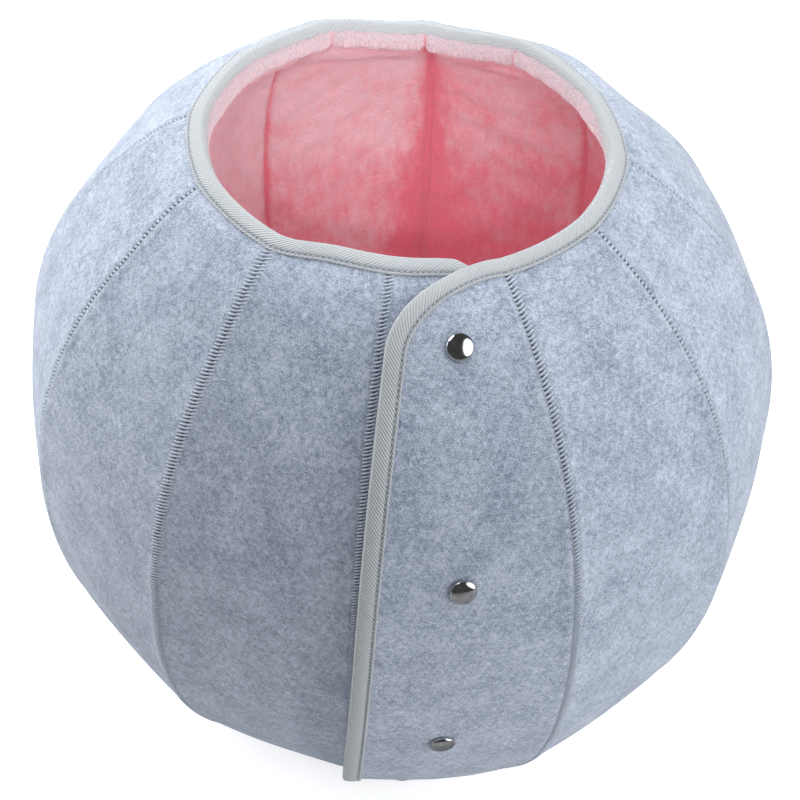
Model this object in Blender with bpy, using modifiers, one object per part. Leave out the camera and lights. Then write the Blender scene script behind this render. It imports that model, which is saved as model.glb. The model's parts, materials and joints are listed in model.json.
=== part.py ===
"""Cat tunnel bed: a ball of twelve felt gores lined with plush, open at the top and bottom.

The strip of gores is one gore longer than the ball needs. Its last gore, the flap, laps over
its first, the underlap, and press snaps down their middle hold the two together. Folded tape
binds every raw edge. The flap swings out about the seam that sews it to the ring.
Sizes are in metres and +Z is up. The bed stands on its bottom rim.
"""
import math

import bmesh
import bpy
import numpy as np
from mathutils import Matrix, Vector

# Ball, measured along a seam of its outer face
BALL_RADIUS = 0.200
TOP_OPENING_RADIUS = 0.0972
BOTTOM_OPENING_RADIUS = 0.1102
TOP_POLE_HEIGHT = 0.1945
BOTTOM_POLE_HEIGHT = 0.2108
TOP_FULLNESS_SHARE = 0.893
BOTTOM_FULLNESS_SHARE = 0.950
GORE_COUNT = 12
GORE_CROWN_SHARE = 0.40
LEAN_SHARE = 0.0196

# Layers of the wall
FELT_THICKNESS = 0.0025
PLUSH_THICKNESS = 0.0022
PLUSH_PUFF = 0.0030
CLEARANCE = 0.0003

# Folded binding tape
TAPE_WIDTH = 0.0072
TAPE_THICKNESS = 0.0006
TAPE_FOLD = 0.0018
STANDING_FLAT = 0.0004

# Flap and underlap
FLAP_SHORTFALL = 0.0019
FLAP_LEAN_SHARE = 0.0187
UNDERLAP_SHORTFALL = 0.002
CORNER_WIDTH = 0.0405
CORNER_LENGTH = 0.0365
CORNER_FULLNESS_SHARE = 1.77
TUCK_RUN = 0.055

# Press snaps
SNAP_COUNT = 4
SNAP_MARGIN = 0.0369
SNAP_BOTTOM_MARGIN = 0.0300
SNAP_PITCH = 0.1106
SNAP_OFFSET = 0.0050
SNAP_LEAN_SHARE = 0.037
CAP_RADIUS = 0.00625
CAP_EDGE = 0.0008
CAP_DOME = 0.0024
POST_RADIUS = 0.0015
SOCKET_FLOOR = 0.0005
SOCKET_WALL = 0.0022
SOCKET_CHAMFER = 0.0004
SPRING_ROOM = 0.0006
STUD_FLANGE_RADIUS = 0.0050
STUD_FLANGE = 0.0007
STUD_SHELL = 0.0005
STUD_LIP = 0.0007
STUD_HEAD = 0.0013
STUD_ROOF = 0.0010
EYELET_RADIUS = 0.0050
EYELET_FLANGE = 0.0007
EYELET_CHAMFER = 0.0002
EYELET_POST_RADIUS = 0.0009

# Spacing of the modelled points
ROW_SPACING = 0.044
LAP_ROW_SPACING = 0.032
SNAP_SEAT = 0.0066
GORE_COLUMNS = 4
LAP_COLUMNS = 5
CORNER_STEPS = 6
RIM_STEPS = 3
ROUND_SIDES = 12
MERIDIAN_SAMPLES = 4001
MERIDIAN_SPAN = math.radians(80)
WELD = 0.00001
CUT_OVERRUN = 0.004

# Sizes that follow from the ones above
HALF_GORE = math.pi / GORE_COUNT
WALL = FELT_THICKNESS + CLEARANCE + PLUSH_THICKNESS
PLUSH_DEPTH = FELT_THICKNESS + CLEARANCE
TAPE_STACK = CLEARANCE + TAPE_THICKNESS
LAP = WALL + 2 * TAPE_STACK + 2 * CLEARANCE
CAVITY_TOP = PLUSH_DEPTH + SOCKET_FLOOR
STUD_TOP = LAP - CAVITY_TOP - CLEARANCE
STUD_BORE_RADIUS = EYELET_POST_RADIUS + CLEARANCE
STUD_NECK_RADIUS = STUD_BORE_RADIUS + STUD_SHELL
STUD_HEAD_RADIUS = STUD_NECK_RADIUS + STUD_LIP
SOCKET_CAVITY_RADIUS = STUD_HEAD_RADIUS + SPRING_ROOM
SOCKET_RADIUS = SOCKET_CAVITY_RADIUS + SOCKET_WALL

# Finishes: colour, roughness, metallic
FELT_FINISH = ((0.43, 0.48, 0.58), 0.95, 0.0)
PLUSH_FINISH = ((0.72, 0.25, 0.33), 0.90, 0.0)
TAPE_FINISH = ((0.66, 0.70, 0.69), 0.80, 0.0)
SNAP_FINISH = ((0.20, 0.21, 0.23), 0.22, 1.0)


def clear_scene():
    """Remove every object, so that the model starts from nothing."""
    for item in list(bpy.data.objects):
        bpy.data.objects.remove(item, do_unlink=True)


def new_collection(name):
    """A new collection in the scene."""
    collection = bpy.data.collections.new(name)
    bpy.context.scene.collection.children.link(collection)
    return collection


def give_finish(item, finish):
    """Give one piece its own plain material."""
    colour, roughness, metallic = finish
    material = bpy.data.materials.new(item.name + "_finish")
    material.use_nodes = True
    shader = material.node_tree.nodes["Principled BSDF"]
    shader.inputs["Base Color"].default_value = (*colour, 1.0)
    shader.inputs["Roughness"].default_value = roughness
    shader.inputs["Metallic"].default_value = metallic
    material.diffuse_color = (*colour, 1.0)
    item.data.materials.append(material)


def new_object(name, points, faces, collection):
    """A mesh object from points and faces, with its faces turned outwards."""
    mesh = bpy.data.meshes.new(name)
    mesh.from_pydata([tuple(point) for point in points], [], [tuple(face) for face in faces])
    shape = bmesh.new()
    shape.from_mesh(mesh)
    bmesh.ops.recalc_face_normals(shape, faces=shape.faces)
    if shape.calc_volume(signed=True) < 0:
        bmesh.ops.reverse_faces(shape, faces=shape.faces)
    shape.to_mesh(mesh)
    shape.free()
    item = bpy.data.objects.new(name, mesh)
    collection.objects.link(item)
    return item


def meridian_table():
    """Arc length, radius and height up a seam of the ball, counted from its widest level.

    The radius is a power of the cosine of a running angle and the height a power of its sine.
    """
    angle = np.linspace(-MERIDIAN_SPAN, MERIDIAN_SPAN, MERIDIAN_SAMPLES)
    power = np.where(angle > 0, TOP_FULLNESS_SHARE, BOTTOM_FULLNESS_SHARE)
    pole = np.where(angle > 0, TOP_POLE_HEIGHT, BOTTOM_POLE_HEIGHT)
    radius = BALL_RADIUS * np.cos(angle) ** power
    height = pole * np.sign(angle) * np.abs(np.sin(angle)) ** power
    arc = np.concatenate([[0.0], np.cumsum(np.hypot(np.diff(radius), np.diff(height)))])
    return arc - np.interp(0.0, height, arc), radius, height


ARC_TABLE, RADIUS_TABLE, HEIGHT_TABLE = meridian_table()
MIDDLE = MERIDIAN_SAMPLES // 2
TOP_ARC = float(np.interp(-TOP_OPENING_RADIUS, -RADIUS_TABLE[MIDDLE:], ARC_TABLE[MIDDLE:]))
BOTTOM_ARC = float(np.interp(BOTTOM_OPENING_RADIUS, RADIUS_TABLE[:MIDDLE], ARC_TABLE[:MIDDLE]))
FLAP_BOTTOM_ARC = BOTTOM_ARC + LAP
SNAP_ARCS = TOP_ARC - SNAP_MARGIN - SNAP_PITCH * np.arange(SNAP_COUNT)
SNAP_ARCS[-1] = FLAP_BOTTOM_ARC + SNAP_BOTTOM_MARGIN


def half_width(arc):
    """Half the width of a gore at an arc length up the wall."""
    return np.interp(arc, ARC_TABLE, RADIUS_TABLE) * math.sin(HALF_GORE)


def wall_points(lateral, arc, depth):
    """Points of the gore that faces -Y.

    lateral is the distance from the gore's middle plane, arc the length up the wall from the
    widest level, and depth the distance in from the outer face, square to it.
    """
    lateral, arc, depth = np.broadcast_arrays(lateral, arc, depth)
    radius = np.interp(arc, ARC_TABLE, RADIUS_TABLE)
    height = np.interp(arc, ARC_TABLE, HEIGHT_TABLE)
    run = np.interp(arc, ARC_TABLE, np.gradient(RADIUS_TABLE, ARC_TABLE)) * math.cos(HALF_GORE)
    rise = np.interp(arc, ARC_TABLE, np.gradient(HEIGHT_TABLE, ARC_TABLE))
    length = np.hypot(run, rise)
    share = lateral / (radius * math.sin(HALF_GORE))
    apothem = radius * math.cos(HALF_GORE)
    crown = GORE_CROWN_SHARE * (radius - apothem) * (1 - share ** 2)
    front = apothem - depth * rise / length
    across = share * front * math.tan(HALF_GORE)
    return np.stack([across, -(front + crown), height + depth * run / length], axis=-1)


def leaned(points):
    """Points carried to the left as they rise, because the soft ball leans."""
    shear = np.eye(3)
    shear[2, 0] = -LEAN_SHARE
    return points @ shear


def tuck(arc):
    """Share of the lap that the ring takes up by winding inwards: none at the rims."""
    edges = np.minimum(arc - BOTTOM_ARC, TOP_ARC - arc) - TAPE_WIDTH
    climb = np.clip(edges / TUCK_RUN, 0, 1)
    return climb ** 2 * (3 - 2 * climb)


def ring_points(lateral, arc, depth, gore):
    """Points of one gore of the ring, which winds inwards from the flap's seam to the underlap."""
    wound = (gore - (1 - lateral / half_width(arc)) / 2) / GORE_COUNT
    points = wall_points(lateral, arc, depth + LAP * tuck(arc) * wound)
    angle = 2 * HALF_GORE * gore
    spin = np.array([[math.cos(angle), math.sin(angle), 0],
                     [-math.sin(angle), math.cos(angle), 0],
                     [0, 0, 1]])
    return leaned(points @ spin)


def flap_points(lateral, arc, depth):
    """Points of the flap: flush at its seam on the right, proud of the ring on the left."""
    proud = LAP * (1 - tuck(arc) * (GORE_COUNT - 1) / GORE_COUNT)
    return leaned(wall_points(lateral, arc, depth - proud * (1 - lateral / half_width(arc)) / 2))


def underlap_points(lateral, arc, depth):
    """Points of the underlap: a lap deeper than the flap, so flush with the ring on the left."""
    return flap_points(lateral, arc, depth + LAP)


def filled(marks, spacing):
    """Ascending marks with even steps, no longer than the spacing, put between them."""
    rows = [marks[:1]]
    for low, high in zip(marks[:-1], marks[1:]):
        count = max(1, math.ceil((high - low) / spacing))
        rows.append(np.linspace(low, high, count + 1)[1:])
    return np.concatenate(rows)


def block(outer, inner):
    """Points and faces of the closed block between two equal grids of points."""
    rows, columns = outer.shape[:2]
    index = np.arange(rows * columns).reshape(rows, columns)
    front = np.stack([index[:-1, :-1], index[:-1, 1:], index[1:, 1:], index[1:, :-1]], axis=-1)
    front = front.reshape(-1, 4)
    edge = np.concatenate([index[0, :-1], index[:-1, -1], index[-1, :0:-1], index[:0:-1, 0]])
    following = np.roll(edge, -1)
    size = rows * columns
    sides = np.stack([edge, edge + size, following + size, following], axis=-1)
    faces = np.concatenate([front, front[:, ::-1] + size, sides])
    return np.concatenate([outer.reshape(-1, 3), inner.reshape(-1, 3)]), faces


def sweep(stations):
    """Points and faces of a closed tube through equal outlines, with flat ends."""
    count, sides = stations.shape[:2]
    index = np.arange(count * sides).reshape(count, sides)
    following = np.roll(index, -1, axis=1)
    walls = np.stack([index[:-1], index[1:], following[1:], following[:-1]], axis=-1)
    faces = [tuple(face) for face in walls.reshape(-1, 4)]
    faces += [tuple(index[0]), tuple(index[-1, ::-1])]
    return stations.reshape(-1, 3), faces


def tape_outline():
    """Outline of the folded tape: distance past the bound edge, and depth into the wall."""
    nose = CLEARANCE + TAPE_FOLD
    return np.array([
        (-TAPE_WIDTH, -TAPE_STACK), (0, -TAPE_STACK), (nose, 0),
        (nose, WALL), (0, WALL + TAPE_STACK), (-TAPE_WIDTH, WALL + TAPE_STACK),
        (-TAPE_WIDTH, WALL + CLEARANCE), (CLEARANCE, WALL + CLEARANCE),
        (CLEARANCE, -CLEARANCE), (-TAPE_WIDTH, -CLEARANCE)])


def seam_share(arc):
    """How far a panel reaches towards its seam, as a share of the gore's half width."""
    return 1 - CLEARANCE / (2 * math.cos(HALF_GORE) * half_width(arc))


def ring_panels(collection):
    """The felt and plush panels of the gores that stay in the ring."""
    marks = np.array([BOTTOM_ARC, BOTTOM_ARC + TAPE_WIDTH, TOP_ARC - TAPE_WIDTH, TOP_ARC])
    rows = filled(marks, ROW_SPACING)[:, None]
    share = np.linspace(-1, 1, GORE_COLUMNS + 1)[None, :] * seam_share(rows)
    lateral = share * half_width(rows)
    climb = np.clip((rows - marks[1]) / (marks[2] - marks[1]), 0, 1)
    puff = PLUSH_PUFF * np.sin(math.pi * climb) * (1 - share ** 2)
    layers = (("felt", 0, FELT_THICKNESS, FELT_FINISH), ("plush", PLUSH_DEPTH, WALL + puff, PLUSH_FINISH))
    for layer, near, far, finish in layers:
        for gore in range(1, GORE_COUNT):
            outer = ring_points(lateral, rows, near, gore)
            inner = ring_points(lateral, rows, far, gore)
            points, faces = block(outer, inner)
            panel = new_object(f"{layer}_panel_{gore:02d}", points, faces, collection)
            give_finish(panel, finish)


def rim_tape(name, arc, side, collection):
    """Tape round one rim, over the gores that stay in the ring. side is 1 at the top rim."""
    outline = tape_outline()
    arcs = arc + side * outline[:, 0]
    end = seam_share(arcs)
    stations = []
    for gore in range(1, GORE_COUNT):
        for step in range(RIM_STEPS):
            share = np.full(len(outline), 2 * step / RIM_STEPS - 1)
            if gore == 1 and step == 0:
                share = -end
            stations.append(ring_points(share * half_width(arcs), arcs, outline[:, 1], gore))
    stations.append(ring_points(end * half_width(arcs), arcs, outline[:, 1], GORE_COUNT - 1))
    points, faces = sweep(np.array(stations))
    item = new_object(name, points, faces, collection)
    give_finish(item, TAPE_FINISH)
    return item


def flap_reach(arc):
    """How far the flap's free edge lies from the middle of its gore."""
    return half_width(arc) - FLAP_SHORTFALL - FLAP_LEAN_SHARE * arc


def underlap_reach(arc):
    """How far the underlap's free edge lies from the middle of its gore."""
    return half_width(arc) - UNDERLAP_SHORTFALL


def free_edge(reach, low):
    """Arcs down a free edge, and its distance from the gore's middle, with rounded corners.

    Each corner is a quarter of a superellipse, from level with the rim to in line with the edge.
    """
    angle = np.linspace(0, math.pi / 2, CORNER_STEPS + 1)
    power = 2 / CORNER_FULLNESS_SHARE
    drop = CORNER_LENGTH * (1 - np.abs(np.cos(angle)) ** power)
    inset = CORNER_WIDTH * (1 - np.sin(angle) ** power)
    corners = np.concatenate([low + drop, (TOP_ARC - drop)[::-1]])
    insets = np.concatenate([inset, inset[::-1]])
    marks = np.sort(np.concatenate([corners, SNAP_ARCS - SNAP_SEAT, SNAP_ARCS + SNAP_SEAT]))
    arcs = filled(marks, LAP_ROW_SPACING)[::-1]
    return arcs, reach(arcs) - np.interp(arcs, corners, insets)


def lap_panels(prefix, place, side, edge, collection):
    """The felt and plush panels of a lapping gore. side is the side of its free edge."""
    arcs, reach = edge
    rows = arcs[::-1][:, None]
    free = side * reach[::-1][:, None]
    seam = -side * half_width(rows) * seam_share(rows)
    lateral = free + (seam - free) * np.linspace(0, 1, LAP_COLUMNS + 1)[None, :]
    felt = block(place(lateral, rows, 0), place(lateral, rows, FELT_THICKNESS))
    plush = block(place(lateral, rows, PLUSH_DEPTH), place(lateral, rows, WALL))
    felt_item = new_object(prefix + "_felt", *felt, collection)
    plush_item = new_object(prefix + "_plush", *plush, collection)
    give_finish(felt_item, FELT_FINISH)
    give_finish(plush_item, PLUSH_FINISH)
    return felt_item, plush_item


def lap_tape(name, place, side, edge, collection):
    """Tape round a lapping gore, from its seam along the top, down its free edge and back."""
    arcs, reach = edge
    outline = tape_outline()
    past, depth = outline[:, 0], outline[:, 1]
    slopes = np.stack([-np.gradient(arcs), np.gradient(reach)])
    slopes /= np.hypot(*slopes)
    slopes[:, 0] = (0, 1)
    slopes[:, -1] = (0, -1)
    stations = []
    for arc, way in ((arcs[0], 1), (arcs[-1], -1)):
        run = arc + way * past
        corner = reach[0 if way > 0 else -1] / half_width(arc)
        shares = np.linspace(-1, corner, RIM_STEPS + 1)[:-1]
        row = [share * np.ones(len(past)) for share in shares]
        row[0] = -seam_share(run)
        row = [place(side * share * half_width(run), run, depth) for share in row]
        stations.append(row)
    down = [place(side * (reach[i] + slopes[0, i] * past), arcs[i] + slopes[1, i] * past, depth)
            for i in range(len(arcs))]
    points, faces = sweep(np.array(stations[0] + down + stations[1][::-1]))
    item = new_object(name, points, faces, collection)
    give_finish(item, TAPE_FINISH)
    return item


def snap_frame(arc):
    """Where a snap sits on the flap's outer face: its axis is square to the face.

    The row of snaps leans with the flap's free edge.
    """
    lateral = SNAP_LEAN_SHARE * arc - SNAP_OFFSET
    step = CLEARANCE
    centre, right, above = (
        Vector(flap_points(lateral + x, arc + s, 0)) for x, s in ((0, 0), (step, 0), (0, step)))
    x_axis = (right - centre).normalized()
    z_axis = x_axis.cross(above - centre).normalized()
    y_axis = z_axis.cross(x_axis)
    turn = Matrix((x_axis, y_axis, z_axis)).transposed().to_4x4()
    return Matrix.Translation(centre) @ turn


def turned_piece(name, profile, frame, collection, closed):
    """A turned piece from its (radius, height) profile, standing on a snap's frame."""
    points = [(radius, 0, height) for radius, height in profile]
    edges = [(i, i + 1) for i in range(len(points) - 1)]
    if closed:
        edges.append((len(points) - 1, 0))
    mesh = bpy.data.meshes.new(name)
    mesh.from_pydata(points, edges, [])
    item = bpy.data.objects.new(name, mesh)
    collection.objects.link(item)
    item.matrix_world = frame
    screw = item.modifiers.new("turn", "SCREW")
    screw.axis = "Z"
    screw.angle = 2 * math.pi
    screw.steps = ROUND_SIDES
    screw.render_steps = ROUND_SIDES
    screw.use_merge_vertices = True
    screw.merge_threshold = WELD
    give_finish(item, SNAP_FINISH)
    return item


def cap_profile():
    """Domed cap on the flap's felt, with the post that goes through it."""
    angle = np.linspace(0, math.pi / 2, 5)
    dome = [(CAP_RADIUS * math.sin(a), CLEARANCE + CAP_EDGE + CAP_DOME * math.cos(a)) for a in angle]
    dome[0] = (0, dome[0][1])
    tip = -(CAVITY_TOP - CLEARANCE)
    return dome + [(CAP_RADIUS, CLEARANCE), (POST_RADIUS, CLEARANCE), (POST_RADIUS, tip), (0, tip)]


def socket_profile():
    """Ring let into the flap's plush: its floor is held by the cap's post, its mouth faces in."""
    hole = POST_RADIUS + CLEARANCE
    return [
        (hole, -PLUSH_DEPTH), (SOCKET_RADIUS, -PLUSH_DEPTH),
        (SOCKET_RADIUS, -WALL + SOCKET_CHAMFER), (SOCKET_RADIUS - SOCKET_CHAMFER, -WALL),
        (SOCKET_CAVITY_RADIUS, -WALL), (SOCKET_CAVITY_RADIUS, -CAVITY_TOP), (hole, -CAVITY_TOP)]


def stud_profile():
    """Stud on the underlap's felt: flange, neck and head, with a bore for the eyelet's post."""
    flange = CLEARANCE + STUD_FLANGE
    neck = STUD_TOP - STUD_HEAD
    roof = STUD_TOP - STUD_ROOF
    return [
        (0, STUD_TOP), (STUD_NECK_RADIUS, STUD_TOP), (STUD_HEAD_RADIUS, STUD_TOP - STUD_HEAD / 2),
        (STUD_NECK_RADIUS, neck), (STUD_NECK_RADIUS, flange), (STUD_FLANGE_RADIUS, flange),
        (STUD_FLANGE_RADIUS, CLEARANCE), (STUD_BORE_RADIUS, CLEARANCE), (STUD_BORE_RADIUS, roof),
        (0, roof)]


def eyelet_profile():
    """Eyelet let into the underlap's plush, with its post up through the felt into the stud."""
    tip = STUD_TOP - STUD_ROOF - CLEARANCE
    back = -PLUSH_DEPTH - EYELET_FLANGE
    return [
        (0, tip), (EYELET_POST_RADIUS, tip), (EYELET_POST_RADIUS, -PLUSH_DEPTH),
        (EYELET_RADIUS, -PLUSH_DEPTH), (EYELET_RADIUS, back + EYELET_CHAMFER),
        (EYELET_RADIUS - EYELET_CHAMFER, back), (0, back)]


def drill(item, radius, frames, cutters):
    """Cut one round hole through a panel on each snap's axis."""
    length = 2 * (WALL + CUT_OVERRUN)
    reach = (radius + CLEARANCE) / math.cos(math.pi / ROUND_SIDES)
    shape = bmesh.new()
    for frame in frames:
        bmesh.ops.create_cone(shape, cap_ends=True, segments=ROUND_SIDES, radius1=reach,
                              radius2=reach, depth=length, matrix=frame)
    mesh = bpy.data.meshes.new(item.name + "_holes")
    shape.to_mesh(mesh)
    shape.free()
    cutter = bpy.data.objects.new(mesh.name, mesh)
    cut_with(item, cutter)
    hide_cutter(cutter, cutters)


def hide_cutter(cutter, cutters):
    """Keep a cutter out of the renders and show it as a wire."""
    cutters.objects.link(cutter)
    cutter.hide_render = True
    cutter.display_type = "WIRE"


def cut_with(item, cutter):
    """Take a cutter out of a piece with a Boolean."""
    boolean = item.modifiers.new("cut", "BOOLEAN")
    boolean.operation = "DIFFERENCE"
    boolean.solver = "EXACT"
    boolean.object = cutter


def flatten_feet(items, cutters):
    """Cut the bottom tape flat, so that the bed stands on a face and not on an edge."""
    lowest = min(vertex.co.z for item in items for vertex in item.data.vertices)
    size = 2 * (BALL_RADIUS + CUT_OVERRUN)
    mesh = bpy.data.meshes.new("floor_cut")
    shape = bmesh.new()
    centre = Matrix.Translation((0, 0, lowest + STANDING_FLAT - CUT_OVERRUN))
    stretch = Matrix.Diagonal((size, size, 2 * CUT_OVERRUN, 1))
    bmesh.ops.create_cube(shape, size=1, matrix=centre @ stretch)
    shape.to_mesh(mesh)
    shape.free()
    cutter = bpy.data.objects.new("floor_cut", mesh)
    for item in items:
        cut_with(item, cutter)
    hide_cutter(cutter, cutters)


def carry_on_hinge(items, collection):
    """Parent the flap's pieces to an empty on the seam that the flap swings about."""
    hinge = bpy.data.objects.new("flap_hinge", None)
    collection.objects.link(hinge)
    hinge.location = (BALL_RADIUS * math.sin(HALF_GORE), -BALL_RADIUS * math.cos(HALF_GORE), 0)
    away = Matrix.Translation(hinge.location).inverted()
    for item in items:
        item.parent = hinge
        item.matrix_parent_inverse = away
    return hinge


def stand_on_origin(collection, cutters):
    """Move the bed so that the middle of its box's underside is at the origin."""
    bpy.context.view_layer.update()
    graph = bpy.context.evaluated_depsgraph_get()
    corners = []
    for item in collection.objects:
        if item.type == "MESH":
            shown = item.evaluated_get(graph)
            corners += [shown.matrix_world @ vertex.co for vertex in shown.data.vertices]
    corners = np.array(corners)
    low, high = corners.min(axis=0), corners.max(axis=0)
    shift = Vector((-(low[0] + high[0]) / 2, -(low[1] + high[1]) / 2, -low[2]))
    for item in list(collection.objects) + list(cutters.objects):
        if item.parent is None:
            item.location += shift


def build():
    """Make the whole bed."""
    clear_scene()
    parts = new_collection("cat_tunnel_bed")
    cutters = new_collection("cutters")

    ring_panels(parts)
    rim_tape("rim_tape_top", TOP_ARC, 1, parts)
    bottom_tape = rim_tape("rim_tape_bottom", BOTTOM_ARC, -1, parts)

    flap_edge = free_edge(flap_reach, FLAP_BOTTOM_ARC)
    flap_felt, flap_plush = lap_panels("flap", flap_points, -1, flap_edge, parts)
    flap_pieces = [flap_felt, flap_plush, lap_tape("flap_tape", flap_points, -1, flap_edge, parts)]

    under_edge = free_edge(underlap_reach, BOTTOM_ARC)
    under_felt, under_plush = lap_panels("underlap", underlap_points, 1, under_edge, parts)
    under_tape = lap_tape("underlap_tape", underlap_points, 1, under_edge, parts)
    flatten_feet([bottom_tape, under_tape], cutters)

    outer_frames = [snap_frame(arc) for arc in SNAP_ARCS]
    inner_frames = [frame @ Matrix.Translation((0, 0, -LAP)) for frame in outer_frames]
    drill(flap_felt, POST_RADIUS, outer_frames, cutters)
    drill(flap_plush, SOCKET_RADIUS, outer_frames, cutters)
    drill(under_felt, EYELET_POST_RADIUS, inner_frames, cutters)
    drill(under_plush, EYELET_RADIUS, inner_frames, cutters)
    for number, (outer, inner) in enumerate(zip(outer_frames, inner_frames), start=1):
        cap = turned_piece(f"snap_cap_{number}", cap_profile(), outer, parts, False)
        socket = turned_piece(f"snap_socket_{number}", socket_profile(), outer, parts, True)
        turned_piece(f"snap_stud_{number}", stud_profile(), inner, parts, False)
        turned_piece(f"snap_eyelet_{number}", eyelet_profile(), inner, parts, False)
        flap_pieces += [cap, socket]

    flap_cutters = [item for item in cutters.objects if item.name.startswith("flap")]
    hinge = carry_on_hinge(flap_pieces + flap_cutters, parts)
    stand_on_origin(parts, cutters)
    bpy.context.view_layer.update()
    print("flap hinge at", tuple(round(value, 6) for value in hinge.matrix_world.translation))


build()
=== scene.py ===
"""Looks of a cat tunnel bed: felt gores, plush lining, bound edges, seams and press snaps.

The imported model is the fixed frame. Every piece follows the same wall as the frame's solids: a
gored ball whose meridian is a power of a cosine and a sine. Sizes are in metres and +Z is up.
"""
import json
import math

import bpy
import numpy as np
from mathutils import Matrix, Vector


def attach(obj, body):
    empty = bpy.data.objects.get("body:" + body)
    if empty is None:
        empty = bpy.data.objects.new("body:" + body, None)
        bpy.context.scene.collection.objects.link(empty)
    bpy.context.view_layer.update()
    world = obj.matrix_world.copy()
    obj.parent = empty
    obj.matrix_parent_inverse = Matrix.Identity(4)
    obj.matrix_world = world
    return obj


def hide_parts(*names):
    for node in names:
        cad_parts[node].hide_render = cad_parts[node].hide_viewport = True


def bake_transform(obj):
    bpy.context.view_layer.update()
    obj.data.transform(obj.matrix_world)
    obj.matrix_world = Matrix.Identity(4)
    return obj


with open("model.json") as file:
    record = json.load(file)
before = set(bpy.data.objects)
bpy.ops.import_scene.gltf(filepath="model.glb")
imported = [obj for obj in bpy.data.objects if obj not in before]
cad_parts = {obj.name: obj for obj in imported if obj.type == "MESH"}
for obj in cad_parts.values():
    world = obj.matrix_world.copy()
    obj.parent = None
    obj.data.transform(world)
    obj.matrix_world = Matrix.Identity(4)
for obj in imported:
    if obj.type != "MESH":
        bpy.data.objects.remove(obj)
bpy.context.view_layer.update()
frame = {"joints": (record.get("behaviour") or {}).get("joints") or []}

bl_info = {
    "name": "Cat Tunnel Bed",
    "version": (1, 0, 0),
    "blender": (4, 5, 0),
    "location": "View3D > Sidebar > Tunnel Bed",
    "description": "Builds the looks of a felt cat tunnel bed around its packed frame",
    "category": "Add Mesh",
}

MM = 0.001

# Wall of the ball, as in the frame's source
BALL_RADIUS = 0.200
TOP_OPENING_RADIUS = 0.0972
BOTTOM_OPENING_RADIUS = 0.1102
TOP_POLE_HEIGHT = 0.1945
BOTTOM_POLE_HEIGHT = 0.2108
TOP_FULLNESS_SHARE = 0.893
BOTTOM_FULLNESS_SHARE = 0.950
GORE_COUNT = 12
GORE_CROWN_SHARE = 0.40
LEAN_SHARE = 0.0196
FELT_THICKNESS = 0.0025
PLUSH_THICKNESS = 0.0022
CLEARANCE = 0.0003
TAPE_WIDTH = 0.0072
TAPE_THICKNESS = 0.0006
TAPE_FOLD = 0.0018
FLAP_SHORTFALL = 0.0019
FLAP_LEAN_SHARE = 0.0187
UNDERLAP_SHORTFALL = 0.002
CORNER_WIDTH = 0.0405
CORNER_LENGTH = 0.0365
CORNER_FULLNESS_SHARE = 1.77
UNDERLAP_CORNER_SHARE = 0.55
TUCK_RUN = 0.055
SNAP_COUNT = 4
SNAP_MARGIN = 0.0369
SNAP_BOTTOM_MARGIN = 0.0300
SNAP_PITCH = 0.1106
SNAP_OFFSET = 0.0050
SNAP_LEAN_SHARE = 0.037
MERIDIAN_SAMPLES = 4001
MERIDIAN_SPAN = math.radians(80)

HALF_GORE = math.pi / GORE_COUNT
GORE_DEGREES = 360 / GORE_COUNT
WALL = FELT_THICKNESS + CLEARANCE + PLUSH_THICKNESS
PLUSH_DEPTH = FELT_THICKNESS + CLEARANCE
LAP = WALL + 2 * (CLEARANCE + TAPE_THICKNESS) + 2 * CLEARANCE
HINGE = np.array(frame["joints"][0]["pos_m"])
CENTRE = HINGE + BALL_RADIUS * np.array([-math.sin(HALF_GORE), math.cos(HALF_GORE), 0])

# Gores by number: 0 is the flap, 1 to 11 the ring, going right from the flap, and 12 the underlap
FLAP = 0
UNDERLAP = GORE_COUNT
RING = range(1, GORE_COUNT)
# More crown on each gore near the top rim, which is nearly flat-sided at the back
RIM_CROWN_SHARES = (0.45, 0.45, 0.45, 0.30, 0.10, 0.0, 0.0, 0.15, 0.35, 0.45, 0.45, 0.45, 0.45)
RIM_CROWN_RUN = 0.018
# Bulge under the rim of a gore, and how much it leans to the gore's right
SHOULDERS = {4: (0.0042, 0.9)}
SHOULDER_DROP = 0.022
SHOULDER_RUN = 0.018
# By the underlap the top rim is drawn up and to the right, and at the back it hangs a little: the
# ways of these, and their weights over the gores' shares
UNDERLAP_WAY = np.array([0.0026, 0.0040, 0.0019])
BACK_WAY = np.array([0.0, -0.0014, -0.0036])
RIM_LIFTS = {
    11: (UNDERLAP_WAY, [-1, -0.75, -0.5, -0.25, 0, 0.3, 1], [0, 0.13, 0.42, 0.72, 0.92, 1, 1]),
    12: (UNDERLAP_WAY, [-1, -0.6, -0.2, 0.1, 0.4, 0.7, 1], [1, 1.06, 1.18, 1.12, 0.72, 0.24, 0]),
    5: (BACK_WAY, [-1, -0.5, 0, 0.5, 1], [0, 0.35, 0.80, 1, 0.95]),
    6: (BACK_WAY, [-1, -0.5, 0, 0.5, 1], [0.95, 0.90, 0.65, 0.25, 0]),
}
LIFT_RUN = 0.075
# How far the flap's foot is shifted to the right and up, over the flap's share
FOOT_SHARES = [-1, -0.75, -0.4, 0, 0.4, 1]
FOOT_RIGHT = [-0.0052, -0.0042, -0.0018, 0, 0, 0]
FOOT_UP = [0.0088, 0.0066, 0.0024, -0.0012, -0.0024, 0]
FOOT_RUN = 0.24

# Meshes and maps
FLOOR_GAP = 0.00003
SEAM_BITE = 0.00004
EDGE_STEP = 0.0028
MAP_MARGIN = 0.06
MAP_SHIFT = 0.13
AREA_STEPS = 400
CORNER_STEPS = 40
TUBE_END_SHARE = 0.45

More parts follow.
